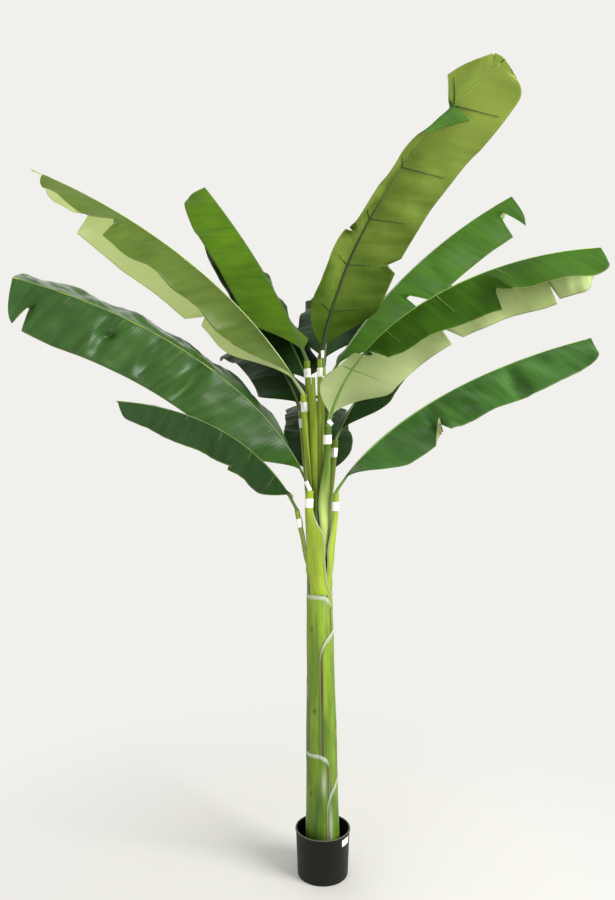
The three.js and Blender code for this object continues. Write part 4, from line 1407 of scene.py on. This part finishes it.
def pot_plastic():
    """Injection-moulded recycled polypropylene: black, half-matt, dusty low down, with a painted highlight on
    its lip.
    """
    material, tree = new_material("black recycled polypropylene")
    place = add_node(tree, "TexCoord").outputs["Object"]
    height = add_node(tree, "SeparateXYZ", {0: place}).outputs[2]
    dust = add_node(tree, "TexNoise", {"Vector": place, "Scale": 22.0, "Detail": 5.0})
    lower = add_node(tree, "MapRange", {0: height, 1: 0.0, 2: 0.12, 3: 0.55, 4: 0.25})
    dusty = add_node(tree, "Math", {0: dust, 1: lower}, operation="MULTIPLY")
    black = add_node(
        tree, "Mix", {0: dusty, MIX_A: linear("#070905"), MIX_B: linear("#241F17")}, data_type="RGBA"
    )
    # The lip is painted paler: a painted highlight along the rim.
    lip_highlight = add_node(tree, "MapRange", {0: height, 1: 0.1590, 2: 0.1618, 4: 0.55})
    lip_highlighted = add_node(
        tree, "Mix", {0: lip_highlight, MIX_A: black.outputs[MIX_RESULT], MIX_B: linear("#6A7058")},
        data_type="RGBA",
    )
    # The mould's grain is under 1 mm, too fine to show, so it is drawn as an orange peel of 4 mm.
    pebble = add_node(tree, "TexNoise", {"Vector": place, "Scale": 260.0, "Detail": 2.0})
    peel = add_node(tree, "Bump", {"Height": pebble, "Distance": 0.0003})
    sheen = add_node(tree, "MapRange", {0: dust, 1: 0.3, 2: 0.7, 3: 0.36, 4: 0.55})
    moulded = add_node(
        tree, "BsdfPrincipled",
        {"Base Color": lip_highlighted.outputs[MIX_RESULT], "Roughness": sheen, "Specular IOR Level": 0.2,
         "Normal": peel},
    )
    add_node(tree, "OutputMaterial", {"Surface": moulded})
    return material


POT_HEIGHT, RIM, BASE, WALL, LIP = 0.162, 0.095, 0.087, 0.003, 0.008
SPIN_STEPS = 128


def pot_radius(z):
    """Radius of the outside of the pot's wall at a height."""
    return blend(BASE, RIM - 0.002, z / POT_HEIGHT)


pot_section = [
    # the base, with a shallow groove inside the ring that it stands on
    (0.0, 0.0), (0.062, 0.0), (0.063, 0.0012), (0.078, 0.0012), (0.079, 0.0), (0.0845, 0.0),
    (0.0862, 0.0005), (0.0869, 0.0020),
    # up the outside and over the rolled lip
    *((pot_radius(z), z) for z in (0.012, 0.05, 0.09, 0.13, POT_HEIGHT - LIP - 0.002)),
    (pot_radius(0.154), 0.154), (RIM - 0.0006, 0.1552), (RIM, 0.1565), (RIM, 0.1602),
    (RIM - 0.0005, 0.1613), (RIM - 0.0014, POT_HEIGHT), (RIM - 0.0040, POT_HEIGHT),
    (RIM - 0.0050, 0.1612), (RIM - 0.0053, 0.159),
    # down the inside and across the floor
    *((pot_radius(z) - WALL, z) for z in (0.12, 0.07, 0.02, 0.006)),
    (BASE - WALL - 0.003, 0.004), (0.0, 0.004),
]
pot = make_piece("pot_shell", spun(pot_section, SPIN_STEPS), [pot_plastic()], ["pot"])
print("pot", tuple(round(v, 3) for v in pot.dimensions))

# %% [markdown]
# The cement was poured round the foot of the trunk, so its section stops at a hole that the trunk fills.
# Its top was left as it set: it is spun flat, and then roughened by a few millimetres.

# %% Cement
FILL_TOP, FILL_GAP, FILL_STEPS = 0.097, 0.0015, 14  # its level, its gap to the pot, rings in its top
HOLE, HOLE_FLOOR = 0.0585, 0.0275  # radius and floor of the hole that the trunk stands in


def poured_cement():
    """Poured cement with a wash of brown soil: quite matt, gritty, and patchy."""
    material, tree = new_material("poured cement with brown soil wash")
    place = add_node(tree, "TexCoord").outputs["Object"]
    # Sand grains are 1 mm or less: the grit is drawn 6 mm across, so that it shows in the pot's shade.
    grit = add_node(tree, "TexNoise", {"Vector": place, "Scale": 160.0, "Detail": 6.0})
    stain = add_node(tree, "TexNoise", {"Vector": place, "Scale": 24.0, "Detail": 3.0})
    earth = add_node(tree, "MapRange", {0: stain, 1: 0.35, 2: 0.7})
    washed = add_node(
        tree, "Mix", {0: earth, MIX_A: linear("#3A2A20"), MIX_B: linear("#5B4A3C")}, data_type="RGBA"
    )
    rough = add_node(tree, "Bump", {"Height": grit, "Distance": 0.003})
    poured = add_node(
        tree, "BsdfPrincipled",
        {"Base Color": washed.outputs[MIX_RESULT], "Roughness": 0.92, "Normal": rough},
    )
    add_node(tree, "OutputMaterial", {"Surface": poured})
    return material


edge = pot_radius(FILL_TOP) - WALL - FILL_GAP
cement_section = [
    (0.0, 0.0045), (0.079, 0.0045), (pot_radius(0.05) - WALL - FILL_GAP, 0.05), (edge, FILL_TOP - 0.001),
    *((blend(edge, HOLE, step / FILL_STEPS), FILL_TOP) for step in range(1, FILL_STEPS + 1)),
    (HOLE, 0.06), (HOLE, HOLE_FLOOR), (0.0, HOLE_FLOOR),
]
bm = spun(cement_section, SPIN_STEPS)
for vert in bm.verts:
    if vert.co.z > FILL_TOP - 0.0005:
        vert.co.z += 0.004 * noise.noise(vert.co * 45) + 0.0015 * noise.noise(vert.co * 160)
make_piece("cement_foot", bm, [poured_cement()], ["pot_fill"])
print("cement up to", FILL_TOP)

# %% [markdown]
# The label is a blank sticker on the curve of the pot. It is laid out flat, turned a little, and then
# wrapped: what was sideways becomes a bearing. One corner has begun to lift.

# %% Label
LABEL_WIDTH, LABEL_SIDE, LABEL_HEIGHT, LABEL_BEARING, LABEL_SLANT = 0.036, 0.023, 0.138, -35, 2
LABEL_STEPS, LABEL_OFF, LABEL_THICK = 18, 0.0007, 0.0003
CORNER_LIFT = 0.0022

bearing = math.radians(LABEL_BEARING)
slant = math.radians(LABEL_SLANT)
bm = bmesh.new()
for row, column, vert in grid_verts(bm, LABEL_STEPS, LABEL_STEPS):
    one, other = (row / LABEL_STEPS - 0.5) * LABEL_WIDTH, (column / LABEL_STEPS - 0.5) * LABEL_SIDE
    round_it = one * math.cos(slant) - other * math.sin(slant)
    rise = one * math.sin(slant) + other * math.cos(slant)
    z = LABEL_HEIGHT + rise
    lifted = CORNER_LIFT * smooth(row / LABEL_STEPS + column / LABEL_STEPS, 1.65, 2.0)
    reach = pot_radius(z) + LABEL_OFF + lifted
    turn = bearing + round_it / pot_radius(z)
    vert.co = (reach * math.cos(turn), reach * math.sin(turn), z)
paper_piece("blank_label", bm, "pot_label", LABEL_THICK)
print("label", LABEL_WIDTH, "by", LABEL_SIDE)
